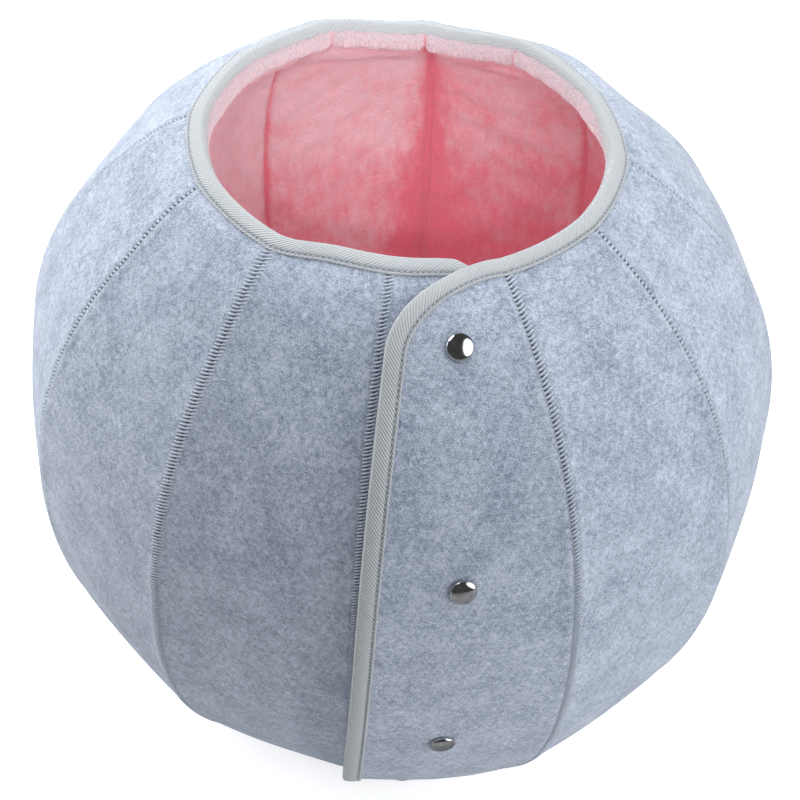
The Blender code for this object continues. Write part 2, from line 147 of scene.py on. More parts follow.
# Felt: its dents, and the groove at a seam with the swelling beside it
FELT_ROWS, FELT_COLUMNS = 150, 49
DENT_DEPTH = 0.0009
LAP_DENT_DEPTH = 0.0007
DENT_PITCH = 0.085
RIM_RUN = 0.03
RIM_STEEPNESS = 6
SNAP_FLAT_RADIUS = 0.014
GROOVE_RUN = 0.00065
SWELL_HEIGHT = 0.0004
SWELL_PLACE = 0.0036
SWELL_RUN = 0.0022
# Shade in the holes between a seam's stitches
HOLE_SHADES = {0: 0.48, 10: 0.10, 11: 0.28}
HOLE_SHADE = 0.66
HOLE_RUN = 0.00042
# Reach of a seam's wide stitches left and right in seam reaches, share of the pitch, and shade
WIDE_SEAMS = {0: (0.8, 1.5, 0.85, 0.12), 10: (1.7, 1.6, 0.78, 0.03), 11: (1.05, 1.05, 0.70, 0.16)}
# A seam's threads: the short loops, and the long bars of the wide stitches
LOOP_REACH, LOOP_SLANT, LOOP_RISE = 0.40, 0.25, -0.30
BAR_THICKNESS, BAR_SLANT, BAR_RISE = 0.62, 0.35, 0.20
THREAD_STATIONS = np.array([-1.0, -0.6, 0.0, 0.6, 1.0])[None, :]
THREAD_SIDES, TAPE_THREAD_SIDES = 6, 4
STITCH_STRAY_SHARE = 0.15
STITCH_SHIFT = 0.00012
STITCH_LIFT = 0.0002

# Plush: the roll beside a rim, with its rows, its reach in rolls and its turn in degrees
ROLL_ROWS = 30
ROLL_REACH = 1.9
ROLL_START = -75
ROLL_TURN = 280
SCALLOP_PITCH = 0.0125
# Way round the axis, in degrees from the flap, where the roll is small, and its middle at the back
ROLL_FROM, ROLL_TO, ROLL_EASE = 78, 270, 22
ROLL_BACK, ROLL_BACK_RUN = 176, 64
NICK_BACK, NICK_BACK_RUN = 165, 45
NICK_RUN = 0.0016
NICK_SHADE_RUN = 0.0008
NICK_PAST = 0.0012
NICK_DEPTH = 0.0016
NICK_SHADE = 0.6
# The lining's body
BODY_ROWS, PLUSH_COLUMNS = 190, 57
SAG_RUN = 0.095
SEAM_SHADE_RUN = 0.0018
LAP_SHADE_RUN = 0.003
STREAK_HALF_WIDTH, STREAK_SPREAD, STREAK_PITCH = 0.0045, 0.036, 0.03
ROLL_WOBBLE, ROLL_WOBBLE_PITCH, ROLL_PILE_PITCH = 0.004, 0.05, 0.005
LAP_PILE_DEPTH, LAP_PILE_PITCH = 0.0003, 0.008
UNDERLAP_PRESS, UNDERLAP_PRESS_RUN, UNDERLAP_RIM_RUN = 0.0016, 0.012, 0.02
PILE_HEIGHT, PILE_PITCH = 0.0006, 0.0065
TUFT_HEIGHT, TUFT_PITCH = 0.0010, 0.019
CREASE_DEPTH, CREASE_RUN = 0.0024, 0.0022
BODY_REST = 0.0006
BODY_END = 0.0012
# The two gores beside the seam at the back, and the side of each that it is on
BACK_GORES = {5: 1, 6: -1}
# Painted light and shade on each gore of the lining, from the flap round to the underlap, standing
# for the lie of the pile
NAP_LIGHT_AND_SHADE = (0.0, 0.0, -0.1, -0.3, -0.42, -0.16, 0.16, 0.34, 0.30, 0.1, 0.0, 0.0, 0.0)

# Tape: its face on the felt and on the plush, as places past the bound edge and depths
TAPE_PAST = MM * np.array(
    [-7.20, -7.05, -6.60, -6.10, -5.75, -5.45, -5.10, -4.50, -3.0, -1.5, -0.4])
TAPE_DEPTHS = MM * np.array(
    [-0.45, -0.85, -1.00, -0.95, -0.62, -0.62, -0.95, -1.25, -1.40, -1.35, -1.20])
TAPE_END_PAST = [-0.9 * MM, -1.5 * MM]
TAPE_END_DEPTHS = [WALL + 1.05 * MM, WALL + 0.95 * MM]
TAPE_INSET = 0.8 * TAPE_THICKNESS
TAPE_COLUMNS = 61
TAPE_END_ROWS = 24
TAPE_GROOVE = 0.0056
TAPE_GROOVE_RUN = 0.00042
FOLD_SWELL = 0.0011
FOLD_STEPS = 15
PUCKER_DEPTH = 0.00006
PUCKER_PITCH = 0.0052
STITCH_SHARES = np.array([-0.36, 0, 0.36])
STITCH_DEPTHS = np.array([-0.00055, -0.00095, -0.00055])

# Press snaps
CAP_RADIUS = 0.00625
CAP_EDGE = 0.0008
CAP_DOME = 0.0024
POST_RADIUS = 0.0015
SOCKET_FLOOR = 0.0005
SOCKET_RADIUS = 0.0054
SOCKET_CAVITY_RADIUS = 0.0032
STUD_RADIUS = 0.0009
STUD_STEP = 0.00065
PLATE_RADIUS = 0.0050
PLATE = 0.0007
BEVEL = 0.0002
EDGE_BEVEL = 0.0003
SOCKET_BEVEL = 0.0004
STUD_WALL = 0.0005
STUD_TOP = 0.0010
ROUNDING, ROUNDING_STEPS = 0.00012, 4
SNAP_SIDES = 48
DOME_STEPS = 22

# Camera of the fitted view, in radians, metres and pixels
CAMERA_TILT = 0.793907
CAMERA_ROLL = 0.077492
CAMERA_TURN = 0.215936
CAMERA_DISTANCE = 0.933694
CAMERA_FOCAL = 1726.42261
CAMERA_MIDDLE = (394.677764, 395.610251)
CAMERA_CLIP = (0.05, 30.0)
FRAME_SIDE = 800
SENSOR = 36.0

# Stage
FLOOR_HALF = 6.0
FLOOR_COLOUR = (0.90, 0.90, 0.90)
# Painted reflection: the floor is darker to glossy rays than it is lit, so the snaps mirror a dim
# floor
MIRRORED_FLOOR_COLOUR = (0.26, 0.26, 0.26)
FLOOR_GLOW = 0.64
FAR_GLOW = 0.5
GLOW_RUN = (0.5, 2.5)
AMBIENT = 0.06
LIGHTS = (
    # name, degrees right of the flap, degrees up, distance, diameter, power
    ("front_right_softbox", 42, 5, 1.8, 0.9, 5.3),
    ("right_softbox", 60, 28, 1.9, 2.2, 26.0),
    ("back_right_softbox", 140, 55, 1.7, 1.1, 15.0),
    ("back_left_softbox", -130, 50, 1.7, 1.1, 15.0),
    ("left_softbox", -112, 13, 1.7, 1.1, 13.0),
    ("low_back_left_softbox", -150, 22, 1.7, 1.1, 11.0),
    ("top_softbox", -40, 78, 1.7, 1.1, 7.0),
)
UNMIRRORED = ("front_right_softbox", "top_softbox", "back_right_softbox")
# The hollow's lamps: a narrow one above the front rim, and a small one inside, out of sight
HOLE_SPOT = (-0.27, -1.28, 1.36)
HOLE_SPOT_AIM = (-0.005, 0.060, 0.340)
HOLE_SPOT_REACH = 0.088
HOLE_SPOT_POWER = 62.0
HOLE_SPOT_BLEND = 0.4
HOLE_SPOT_SIZE = 0.06
HOLLOW_LAMP = (-0.01, -0.085, 0.235)
HOLLOW_LAMP_AIM = (-0.01, 0.15, 0.235)
HOLLOW_LAMP_SIDE = 0.12
HOLLOW_LAMP_POWER = 0.34


# Settings that a user would change

def length(name, description, default):
    """A length that a user would change."""
    return bpy.props.FloatProperty(
        name=name, description=description, default=default, unit="LENGTH")


def colour(name, description, default):
    """A colour that a user would change."""
    return bpy.props.FloatVectorProperty(
        name=name, description=description, default=default, subtype="COLOR")


class BedShape(bpy.types.PropertyGroup):
    """Sizes of the cloth's and threads' detail."""
    seam_pitch: length(
        "Seam pitch", "Distance between the stitches of a seam", 0.00235)
    seam_reach: length(
        "Seam reach", "How far a seam's stitch goes to each side of the seam", 0.0026)
    seam_thread: length(
        "Seam thread", "Thickness of the thread in the seams", 0.0014)
    seam_groove: length(
        "Seam groove", "Depth of the groove between two felt gores", 0.0013)
    tape_pitch: length(
        "Tape stitch pitch", "Distance between the stitches along the tape", 0.0026)
    tape_thread: length(
        "Tape thread", "Thickness of the thread along the tape", 0.0005)
    plush_roll: length(
        "Plush roll", "How far the plush swells out beside the rims' tape", 0.0047)
    plush_sag: length(
        "Plush sag", "How far the lining hangs off the felt below the top rim", 0.0085)
    plush_puff: length(
        "Plush puff", "How far the lining swells in the middle of a gore", 0.0036)


class BedColours(bpy.types.PropertyGroup):
    """Colours of the bed's materials."""
    felt_light: colour(
        "Felt, light fibres", "Colour of the felt's light fibres", (0.57, 0.635, 0.755))
    felt_dark: colour(
        "Felt, dark fibres", "Colour of the felt's dark fibres", (0.17, 0.215, 0.31))
    plush_light: colour(
        "Plush, pile tips", "Colour of the plush where the pile's tips show", (0.86, 0.61, 0.665))
    # Also the colour of the lining's painted shade: at its seams, the rolls' ends and nicks, the
    # streak at the back and low down
    plush_root_and_shade: colour(
        "Plush, pile root", "Colour of the plush where the pile lies open", (0.80, 0.17, 0.24))
    plush_edge: colour(
        "Plush, edge", "Colour of the fluffed plush beside the tape", (0.69, 0.54, 0.59))
    tape: colour(
        "Tape", "Colour of the binding tape", (0.44, 0.465, 0.49))
    # Painted shade between the tape's ribs
    tape_rib_gap_shade: colour(
        "Tape ribs", "Colour between the ribs of the tape", (0.26, 0.30, 0.33))
    thread: colour(
        "Thread", "Colour of the seams' thread", (0.50, 0.56, 0.65))
    metal: colour(
        "Snap metal", "Colour of the snaps' dark plating", (0.55, 0.56, 0.58))


# Curves

def smooth(x):
    """A smooth step: x held between 0 and 1, then x squared times 3 - 2 x."""
    x = np.clip(x, 0, 1)
    return x ** 2 * (3 - 2 * x)


def bell(x, power=2):
    """A bell: e to the minus x to an even power."""
    return np.exp(-x ** power)


def run_along(x, y):
    """Length along a line of points up to each of them."""
    return np.concatenate([[0], np.cumsum(np.hypot(np.diff(x), np.diff(y)))])


def eased(count):
    """Shares from -1 to 1, closer together towards both ends: the sine of an even angle."""
    return np.sin(np.linspace(-math.pi / 2, math.pi / 2, count))


def ripple(u, v, seed, pitch):
    """Soft unevenness from -1 to 1: the mean of six sine waves of set directions and lengths."""
    draw = np.random.default_rng(seed)
    turns, stretches = draw.uniform(0, math.pi, 6), draw.uniform(0.7, 1.6, 6)
    phases = draw.uniform(0, 2 * math.pi, 6)
    total = 0
    for turn, stretch, phase in zip(turns, stretches, phases):
        wave = (u * math.cos(turn) + v * math.sin(turn)) * 2 * math.pi / (pitch * stretch)
        total = total + np.sin(wave + phase)
    return total / 6


# The wall as a surface

def meridian_table():
    """Arc, radius and height up a seam: radius R cos^q t, height pole sin^q t, arc their run."""
    angle = np.linspace(-MERIDIAN_SPAN, MERIDIAN_SPAN, MERIDIAN_SAMPLES)
    power = np.where(angle > 0, TOP_FULLNESS_SHARE, BOTTOM_FULLNESS_SHARE)
    pole = np.where(angle > 0, TOP_POLE_HEIGHT, BOTTOM_POLE_HEIGHT)
    radius = BALL_RADIUS * np.cos(angle) ** power
    height = pole * np.sign(angle) * np.abs(np.sin(angle)) ** power
    arc = run_along(radius, height)
    return arc - np.interp(0.0, height, arc), radius, height


ARC_TABLE, RADIUS_TABLE, HEIGHT_TABLE = meridian_table()
RUN_TABLE = np.gradient(RADIUS_TABLE, ARC_TABLE) * math.cos(HALF_GORE)
RISE_TABLE = np.gradient(HEIGHT_TABLE, ARC_TABLE)
MIDDLE = MERIDIAN_SAMPLES // 2
TOP_ARC = float(np.interp(-TOP_OPENING_RADIUS, -RADIUS_TABLE[MIDDLE:], ARC_TABLE[MIDDLE:]))
BOTTOM_ARC = float(np.interp(BOTTOM_OPENING_RADIUS, RADIUS_TABLE[:MIDDLE], ARC_TABLE[:MIDDLE]))
FLAP_BOTTOM_ARC = BOTTOM_ARC + LAP
SNAP_ARCS = TOP_ARC - SNAP_MARGIN - SNAP_PITCH * np.arange(SNAP_COUNT)
SNAP_ARCS[-1] = FLAP_BOTTOM_ARC + SNAP_BOTTOM_MARGIN


def half_width(arc):
    """Half the width of a gore: the seam's radius times the sine of half a gore's angle."""
    return np.interp(arc, ARC_TABLE, RADIUS_TABLE) * math.sin(HALF_GORE)


def tuck(arc):
    """Share of the lap that the ring takes up: 0 at the rims, easing to 1 over the tuck's run."""
    return smooth((np.minimum(arc - BOTTOM_ARC, TOP_ARC - arc) - TAPE_WIDTH) / TUCK_RUN)


def place(gore, lateral, arc, depth):
    """Points of a gore.

    With s the share of the half width, the face is the gore's flat plus a crown of 1 - s squared,
    which is fuller near the top rim, by a bell of the distance from it. Some gores have a shoulder
    under the rim, a second bell. The depth goes in square to the meridian, after the winding of the
    lap is added to it. The point is then turned to its gore, and leans to the left in proportion to
    its height. Some rims and the flap's foot are shifted too, by weights over the share times a
    smooth fade up the arc.
    """
    lateral, arc, depth = np.broadcast_arrays(lateral, arc, depth)
    share = lateral / half_width(arc)
    if gore in (FLAP, UNDERLAP):
        proud = LAP * (1 - tuck(arc) * (GORE_COUNT - 1) / GORE_COUNT)
        depth = depth - proud * (1 - share) / 2 + (LAP if gore == UNDERLAP else 0)
    else:
        depth = depth + LAP * tuck(arc) * (gore - (1 - share) / 2) / GORE_COUNT
    radius, height, run, rise = (
        np.interp(arc, ARC_TABLE, table)
        for table in (RADIUS_TABLE, HEIGHT_TABLE, RUN_TABLE, RISE_TABLE))
    length = np.hypot(run, rise)
    apothem = radius * math.cos(HALF_GORE)
    below = np.maximum(TOP_ARC - arc, 0)
    fullness = GORE_CROWN_SHARE + RIM_CROWN_SHARES[gore] * bell(below / RIM_CROWN_RUN)
    crown = fullness * (radius - apothem) * (1 - share ** 2)
    bulge = bell((below - SHOULDER_DROP) / SHOULDER_RUN) * (1 - share ** 2)
    amount, skew = SHOULDERS.get(gore, (0.0, 0.0))
    crown = crown + amount * bulge * (1 + skew * share)
    front = apothem - depth * rise / length
    across, out = share * front * math.tan(HALF_GORE), front + crown
    height = height + depth * run / length
    angle = 2 * HALF_GORE * (gore % GORE_COUNT)
    x = across * math.cos(angle) + out * math.sin(angle) - LEAN_SHARE * height
    y = across * math.sin(angle) - out * math.cos(angle)
    points = np.stack([x, y, height], axis=-1) + CENTRE
    if gore in RIM_LIFTS:
        way, shares, weights = RIM_LIFTS[gore]
        fade = smooth(1 - (TOP_ARC - arc) / LIFT_RUN)
        points = points + (np.interp(share, shares, weights) * fade)[..., None] * way
    if gore == FLAP:
        fade = smooth(1 - (arc - FLAP_BOTTOM_ARC) / FOOT_RUN)
        right, up = (np.interp(share, FOOT_SHARES, way) * fade for way in (FOOT_RIGHT, FOOT_UP))
        points = points + np.stack([right, 0 * fade, up], axis=-1)
    return points


def at_seam(seam, offset, arc, depth):
    """Points beside the seam between gore seam and the next, offset to the right of it."""
    offset, arc, depth = np.broadcast_arrays(offset, arc, depth)
    left = place(seam, half_width(arc) + np.minimum(offset, 0), arc, depth)
    right = place(seam + 1, -half_width(arc) + np.maximum(offset, 0), arc, depth)
    return np.where((offset < 0)[..., None], left, right)


# Meshes from arrays

def shell(outer, inner):
    """Points and quads of the closed solid between two equal grids of points."""
    rows, columns = outer.shape[:2]
    index = np.arange(rows * columns).reshape(rows, columns)
    front = np.stack([index[:-1, :-1], index[:-1, 1:], index[1:, 1:], index[1:, :-1]], axis=-1)
    front = front.reshape(-1, 4)
    edge = np.concatenate([index[0, :-1], index[:-1, -1], index[-1, :0:-1], index[:0:-1, 0]])
    following = np.roll(edge, -1)
    size = rows * columns
    sides = np.stack([edge, edge + size, following + size, following], axis=-1)
    quads = np.concatenate([front, front[:, ::-1] + size, sides])
    return np.concatenate([outer.reshape(-1, 3), inner.reshape(-1, 3)]), quads


def cloth(outer, inner, uv, **masks):
    """Points, quads, UV and masks of a cloth whose two faces have the same UV and masks."""
    uv = uv.reshape(-1, 2)
    masks = {name: np.concatenate([mask.ravel()] * 2) for name, mask in masks.items()}
    return *shell(outer, inner), np.concatenate([uv, uv]), masks


def ring_walls(rings, sides):
    """Numbers of the points on a row of rings, and the quads between one ring and the next."""
    index = np.arange(rings * sides).reshape(rings, sides)
    following = np.roll(index, -1, axis=1)
    walls = np.stack([index[:-1], following[:-1], following[1:], index[1:]], axis=-1)
    return index, walls.reshape(-1, 4)


def lathe(profile, sides):
    """Points and quads of a profile of (radius, height), turned about Z."""
    angle = 2 * math.pi * np.arange(sides) / sides
    radius, height = profile[:, :1], profile[:, 1:]
    points = np.stack([radius * np.cos(angle), radius * np.sin(angle), height + 0 * angle], axis=-1)
    return points.reshape(-1, 3), ring_walls(len(profile), sides)[1]


def unit(vectors):
    """Vectors made one long."""
    return vectors / np.linalg.norm(vectors, axis=-1, keepdims=True)


def tubes(paths, radius, sides):
    """Points and quads of short closed tubes. paths is tubes by stations by 3; their ends taper.

    Each station's ring is the cross of the path's direction with the way out from the ball's axis,
    and a second vector square to both, times the radius and the taper.
    """
    count, stations = paths.shape[:2]
    along = unit(np.gradient(paths, axis=1))
    side = unit(np.cross(along, unit(paths - CENTRE)))
    rise = np.cross(side, along)
    taper = np.ones(stations)
    taper[[0, -1]] = TUBE_END_SHARE
    angle = 2 * math.pi * np.arange(sides) / sides
    ring = side[:, :, None] * np.cos(angle)[:, None] + rise[:, :, None] * np.sin(angle)[:, None]
    points = paths[:, :, None] + ring * (radius * taper)[None, :, None, None]
    index, walls = ring_walls(stations, sides)
    half = np.arange(sides // 2 - 1)
    cap = np.stack([half, half + 1, sides - 2 - half, sides - 1 - half], axis=-1)
    quads = np.concatenate([walls, index[0][cap][:, ::-1], index[-1][cap]])
    quads = quads[None] + (np.arange(count) * stations * sides)[:, None, None]
    return points.reshape(-1, 3), quads.reshape(-1, 4)


def turned_out(points, quads):
    """Whether the faces look out: the sum of a . (b x c) over each quad's two triangles."""
    a, b, c, d = (points[quads[:, i]] for i in range(4))
    halves = np.einsum("ij,ij->i", a, np.cross(b, c)) + np.einsum("ij,ij->i", a, np.cross(c, d))
    return halves.sum() >= 0


def new_piece(name, points, quads, uv=None, masks=None, smooth_angle=40):
    """A mesh object at the origin from points and quads, with a UV map in metres and masks.

    What would pass below the floor is pressed flat on it.
    """
    points = np.column_stack([points[:, :2], np.maximum(points[:, 2], FLOOR_GAP)])
    if not turned_out(points - points.mean(axis=0), quads):
        quads = quads[:, ::-1]
    quads = np.ascontiguousarray(quads)
    mesh = bpy.data.meshes.new(name)
    mesh.vertices.add(len(points))
    mesh.vertices.foreach_set("co", points.astype(np.float32).ravel())
    mesh.loops.add(quads.size)
    mesh.loops.foreach_set("vertex_index", quads.astype(np.int32).ravel())
    mesh.polygons.add(len(quads))
    mesh.polygons.foreach_set("loop_start", np.arange(0, quads.size, 4, dtype=np.int32))
    mesh.update(calc_edges=True)
    if uv is not None:
        layer = mesh.uv_layers.new(name="cloth")
        layer.data.foreach_set("uv", uv[quads.ravel()].astype(np.float32).ravel())
    for mask, values in (masks or {}).items():
        attribute = mesh.attributes.new(mask, "FLOAT", "POINT")
        attribute.data.foreach_set("value", values.astype(np.float32))
    mesh.polygons.foreach_set("use_smooth", np.ones(len(quads), bool))
    mesh.set_sharp_from_angle(angle=math.radians(smooth_angle))
    if mesh.validate(clean_customdata=False):
        raise RuntimeError(f"{name} has faces that aren't valid")
    item = bpy.data.objects.new(name, mesh)
    bpy.context.scene.collection.objects.link(item)
    return item


def add_piece(name, made, look, nodes, body):
    """Make a piece with its material, the nodes it stands for and the body it rides on.

    With no body its placing is baked into its points.
    """
    slot, smooth_angle = LOOKS[look][2:]
    item = new_piece(name, *made, smooth_angle=smooth_angle)
    item.data.materials.append(material_of(look))
    if nodes:
        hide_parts(*nodes)
    if body:
        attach(item, body)
    else:
        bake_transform(item)
    return item


def declare_cloth(item, low=BOTTOM_ARC, reach=half_width):
    """Work out the width of a panel cut as a gore, at steps up its arc; nothing is done with it.

    Its area would be the sum of that width over the arc.
    """
    arcs = np.linspace(low, TOP_ARC, AREA_STEPS)
    width = half_width(arcs) + reach(arcs)


# Nodes

class Tree:
    """A node tree with short ways to add nodes, set their inputs and link them."""

    def __init__(self, tree):
        self.tree = tree

    def add(self, kind, inputs=None, **settings):
        node = self.tree.nodes.new(kind)
        for key, value in settings.items():
            setattr(node, key, value)
        for key, value in (inputs or {}).items():
            if isinstance(value, bpy.types.NodeSocket):
                self.tree.links.new(value, node.inputs[key])
            else:
                node.inputs[key].default_value = value
        return node

    def math(self, operation, a, b=0.0, c=0.0):
        return self.add("ShaderNodeMath", {0: a, 1: b, 2: c}, operation=operation).outputs[0]

    def total(self, *terms):
        """The sum of values times their weights."""
        total = 0.0
        for value, weight in terms:
            total = self.math("MULTIPLY_ADD", value, weight, total)
        return total

    def mix(self, share, a, b):
        """A mix of two colours, which are sockets or shares of red, green and blue."""
        a, b = (c if isinstance(c, bpy.types.NodeSocket) else (*c, 1.0) for c in (a, b))
        return self.add("ShaderNodeMix", {0: share, 6: a, 7: b}, data_type="RGBA").outputs[2]

    def ramp(self, value, low, high, top=1.0):
        """A value from low to high, as 0 to the top, smoothly."""
        inputs = {0: value, 1: low, 2: high, 4: top}
        return self.add("ShaderNodeMapRange", inputs, interpolation_type="SMOOTHSTEP").outputs[0]

    def noise(self, vector, scale, detail=2.0, roughness=0.5, distortion=0.0):
        inputs = {"Vector": vector, "Scale": scale, "Detail": detail, "Roughness": roughness,
                  "Distortion": distortion}
        return self.add("ShaderNodeTexNoise", inputs).outputs[0]

    def vector(self, operation, a, b):
        return self.add("ShaderNodeVectorMath", {0: a, 1: b}, operation=operation).outputs[0]

    def mask(self, name):
        return self.add("ShaderNodeAttribute", attribute_name=name).outputs["Fac"]

    def place(self):
        return self.add("ShaderNodeTexCoord").outputs["Object"]

    def millimetres(self):
        """The cloth's own coordinates, in millimetres."""
        uv = self.add("ShaderNodeUVMap", uv_map="cloth").outputs[0]
        return self.vector("MULTIPLY", uv, (1 / MM, 1 / MM, 1 / MM))

    def fibres(self, here, length, width, turn=0.0):
        """Outputs of the group of crossed fibres."""
        inputs = {"Vector": here, "Length": length, "Width": width, "Turn": turn}
        return self.add("ShaderNodeGroup", inputs, node_tree=fibre_group()).outputs

    def shade(self, colour, height, distance, strength, roughness=None, **values):
        """Give the Principled shader its colour, its bump, its roughness and its constants."""
        shader = self.tree.nodes["Principled BSDF"]
        for socket, value in values.items():
            shader.inputs[socket.replace("_", " ")].default_value = value
        self.tree.links.new(colour, shader.inputs["Base Color"])
        if roughness is not None:
            self.tree.links.new(roughness, shader.inputs["Roughness"])
        bump = self.add(
            "ShaderNodeBump", {"Strength": strength, "Distance": distance, "Height": height})
        self.tree.links.new(bump.outputs[0], shader.inputs["Normal"])


def tinted(colour, factor):
    """A colour times a factor, no more than white."""
    return [min(1.0, c * factor) for c in colour]


def fibre_group():
    """Crossed fibres: noise stretched three ways. Light is their top, dark their foot."""
    name = "crossed_fibres"
    if name in bpy.data.node_groups:
        return bpy.data.node_groups[name]
    group = bpy.data.node_groups.new(name, "ShaderNodeTree")
    group.interface.new_socket("Vector", in_out="INPUT", socket_type="NodeSocketVector")
    for socket in ("Length", "Width", "Turn"):
        group.interface.new_socket(socket, in_out="INPUT", socket_type="NodeSocketFloat")
    for socket in ("Light", "Dark", "Mean"):
        group.interface.new_socket(socket, in_out="OUTPUT", socket_type="NodeSocketFloat")
    tree = Tree(group)
    given, made = tree.add("NodeGroupInput").outputs, tree.add("NodeGroupOutput").inputs
    stretch = tree.add("ShaderNodeCombineXYZ", {
        0: tree.math("DIVIDE", 1.0, given["Length"]), 1: tree.math("DIVIDE", 1.0, given["Width"])})
    layers = []
    for angle in (0.3, 1.35, 2.45):
        turned = tree.add("ShaderNodeVectorRotate", {
            "Vector": given["Vector"], "Angle": tree.math("ADD", given["Turn"], angle)},
            rotation_type="Z_AXIS")
        scaled = tree.vector("MULTIPLY", turned.outputs[0], stretch.outputs[0])
        layers.append(tree.noise(scaled, 1.0, 3.0, 0.6, 0.4))
    a, b, c = layers
    for kind, socket in (("MAXIMUM", "Light"), ("MINIMUM", "Dark")):
        group.links.new(tree.math(kind, tree.math(kind, a, b), c), made[socket])
    group.links.new(tree.total((a, 1 / 3), (b, 1 / 3), (c, 1 / 3)), made["Mean"])
    return group


# Materials

def felt_look(tree, colours):
    """Heathered needle felt: light and dark fibres over soft blotches, with painted shade in the
    seams.
    """
    here = tree.millimetres()
    fine = tree.fibres(here, 3.2, 0.55)
    broad = tree.fibres(here, 7.0, 2.2, 0.7)
    speck = tree.noise(here, 1.3, 3.0, 0.7)
    tone = tree.total((fine["Mean"], 1.5), (broad["Mean"], 1.1), (tree.noise(here, 0.045), 0.35),
                      (speck, 0.55))
    colour = tree.mix(tree.ramp(tone, 1.42, 2.08), colours.felt_dark, colours.felt_light)
    colour = tree.mix(tree.ramp(fine["Dark"], 0.40, 0.27, 0.45), colour, (0.16, 0.20, 0.28))
    colour = tree.mix(tree.ramp(fine["Light"], 0.60, 0.74, 0.22), colour, (0.80, 0.83, 0.90))
    # Painted shade: the groove mask darkens the felt nearly to black in the seams' holes and under
    # wide stitches
    colour = tree.mix(tree.mask("groove"), colour, (0.03, 0.035, 0.045))
    height = tree.total((speck, 0.5), (fine["Mean"], 1.0))
    tree.shade(colour, height, 0.0009, 0.7, Roughness=0.92, Sheen_Weight=0.25,
               Sheen_Roughness=0.6, Specular_IOR_Level=0.15)


def plush_look(tree, colours):
    """Short plush: pale tips, deep colour where the pile parts in streaks, and a fluffed edge."""
    here = tree.millimetres()
    tuft = tree.fibres(here, 4.5, 1.1, 1.2)["Mean"]
    fluff = tree.fibres(here, 2.2, 0.7, 0.4)["Mean"]
    combed = tree.vector("MULTIPLY", here, (1.0, 0.4, 1.0))
    patch = tree.noise(here, 0.026, 3.0, 0.55, 0.2)
    stroke = tree.noise(combed, 0.16, 4.0, 0.6, 0.3)
    # Painted shade: the groove mask pushes the lining towards the deep colour
    deep = tree.total((patch, 0.60), (stroke, 0.50), (tuft, 0.6), (fluff, 0.75),
                      (tree.mask("groove"), 0.55))
    colour = tree.mix(tree.ramp(deep, 0.97, 1.72), colours.plush_light, colours.plush_root_and_shade)
    fluffed = tree.mix(tree.ramp(fluff, 0.38, 0.62), tinted(colours.plush_edge, 0.80),
                       tinted(colours.plush_edge, 1.06))
    colour = tree.mix(tree.mask("edge"), colour, fluffed)
    height = tree.math("ADD", tuft, tree.noise(here, 0.7, 3.0, 0.6))
    tree.shade(colour, height, 0.0022, 0.9, Roughness=0.95, Sheen_Weight=0.45,
               Sheen_Roughness=0.45, Sheen_Tint=(1.0, 0.80, 0.84, 1.0), Specular_IOR_Level=0.1)


def tape_look(tree, colours):
    """Twill tape: slanting ribs with painted shade in the gaps, each rib broken along its length by
    yarns.
    """
    here = tree.millimetres()
    axes = tree.add("ShaderNodeSeparateXYZ", {0: here}).outputs
    wobble = tree.noise(here, 0.5)
    rib = tree.math("SINE", tree.total((axes[0], 3.3), (axes[1], -4.2), (wobble, 0.5)))
    yarn = tree.noise(here, 2.6, 2.0, 0.6)
    # Painted shade in the gaps between the ribs
    colour = tree.mix(tree.ramp(rib, 0.15, -0.85, 0.46), colours.tape, colours.tape_rib_gap_shade)
    colour = tree.mix(tree.math("MULTIPLY", yarn, 0.22), colour, (0.80, 0.83, 0.84))
    # Painted shade in the tape's stitched groove
    colour = tree.mix(tree.math("MULTIPLY", tree.mask("groove"), 0.8), colour, (0.10, 0.12, 0.14))
    tree.shade(colour, tree.total((rib, 0.5), (yarn, 0.4)), 0.00035, 0.8, Roughness=0.80,
               Sheen_Weight=0.15, Specular_IOR_Level=0.25)


def thread_look(tree, colours):
    """Spun thread: its plies as a fine noise."""
    ply = tree.noise(tree.place(), 2600.0, 2.0, 0.6)
    colour = tree.mix(tree.ramp(ply, 0.3, 0.7), tinted(colours.thread, 0.62),
                      tinted(colours.thread, 1.25))
    tree.shade(colour, ply, 0.0003, 0.8, Roughness=0.75, Sheen_Weight=0.2)


def metal_look(tree, colours):
    """Dark polished plating with faint dust and finger marks."""
    smear = tree.noise(tree.place(), 420.0, 3.0, 0.6)
    dust = tree.noise(tree.place(), 3000.0, 2.0, 0.7)
    colour = tree.mix(tree.ramp(smear, 0.35, 0.75), colours.metal, tinted(colours.metal, 1.5))
    rough = tree.math("ADD", tree.total((smear, 0.08), (dust, 0.05)), 0.05)
    tree.shade(colour, dust, 0.00002, 0.3, rough, Metallic=1.0)


# Each look's material, what makes it, its slot, and the degrees from which an edge is sharp
LOOKS = {
    "felt": ("heathered_felt", felt_look, "grey_felt", 40),
    "plush": ("pink_pile", plush_look, "pink_plush", 75),
    "tape": ("twill_tape", tape_look, "binding_tape", 60),
    "thread": ("spun_thread", thread_look, "binding_tape", 40),
    "metal": ("dark_plating", metal_look, "snap_metal", 35),
}


def material_of(look):
    """The material of a look, which is made when it is first asked for."""
    name, make = LOOKS[look][:2]
    if name not in bpy.data.materials:
        material = bpy.data.materials.new(name)
        material.use_nodes = True
        make(Tree(material.node_tree), bpy.context.scene.bed_colours)
    return bpy.data.materials[name]


# Cloth panels of the ring

def cloth_map(gore, lateral, arc):
    """UV in metres: across the gore, moved along for each gore, and up the wall."""
    u = lateral + MAP_MARGIN + MAP_SHIFT * gore
    return np.stack([u, arc - BOTTOM_ARC + 0 * lateral], axis=-1)


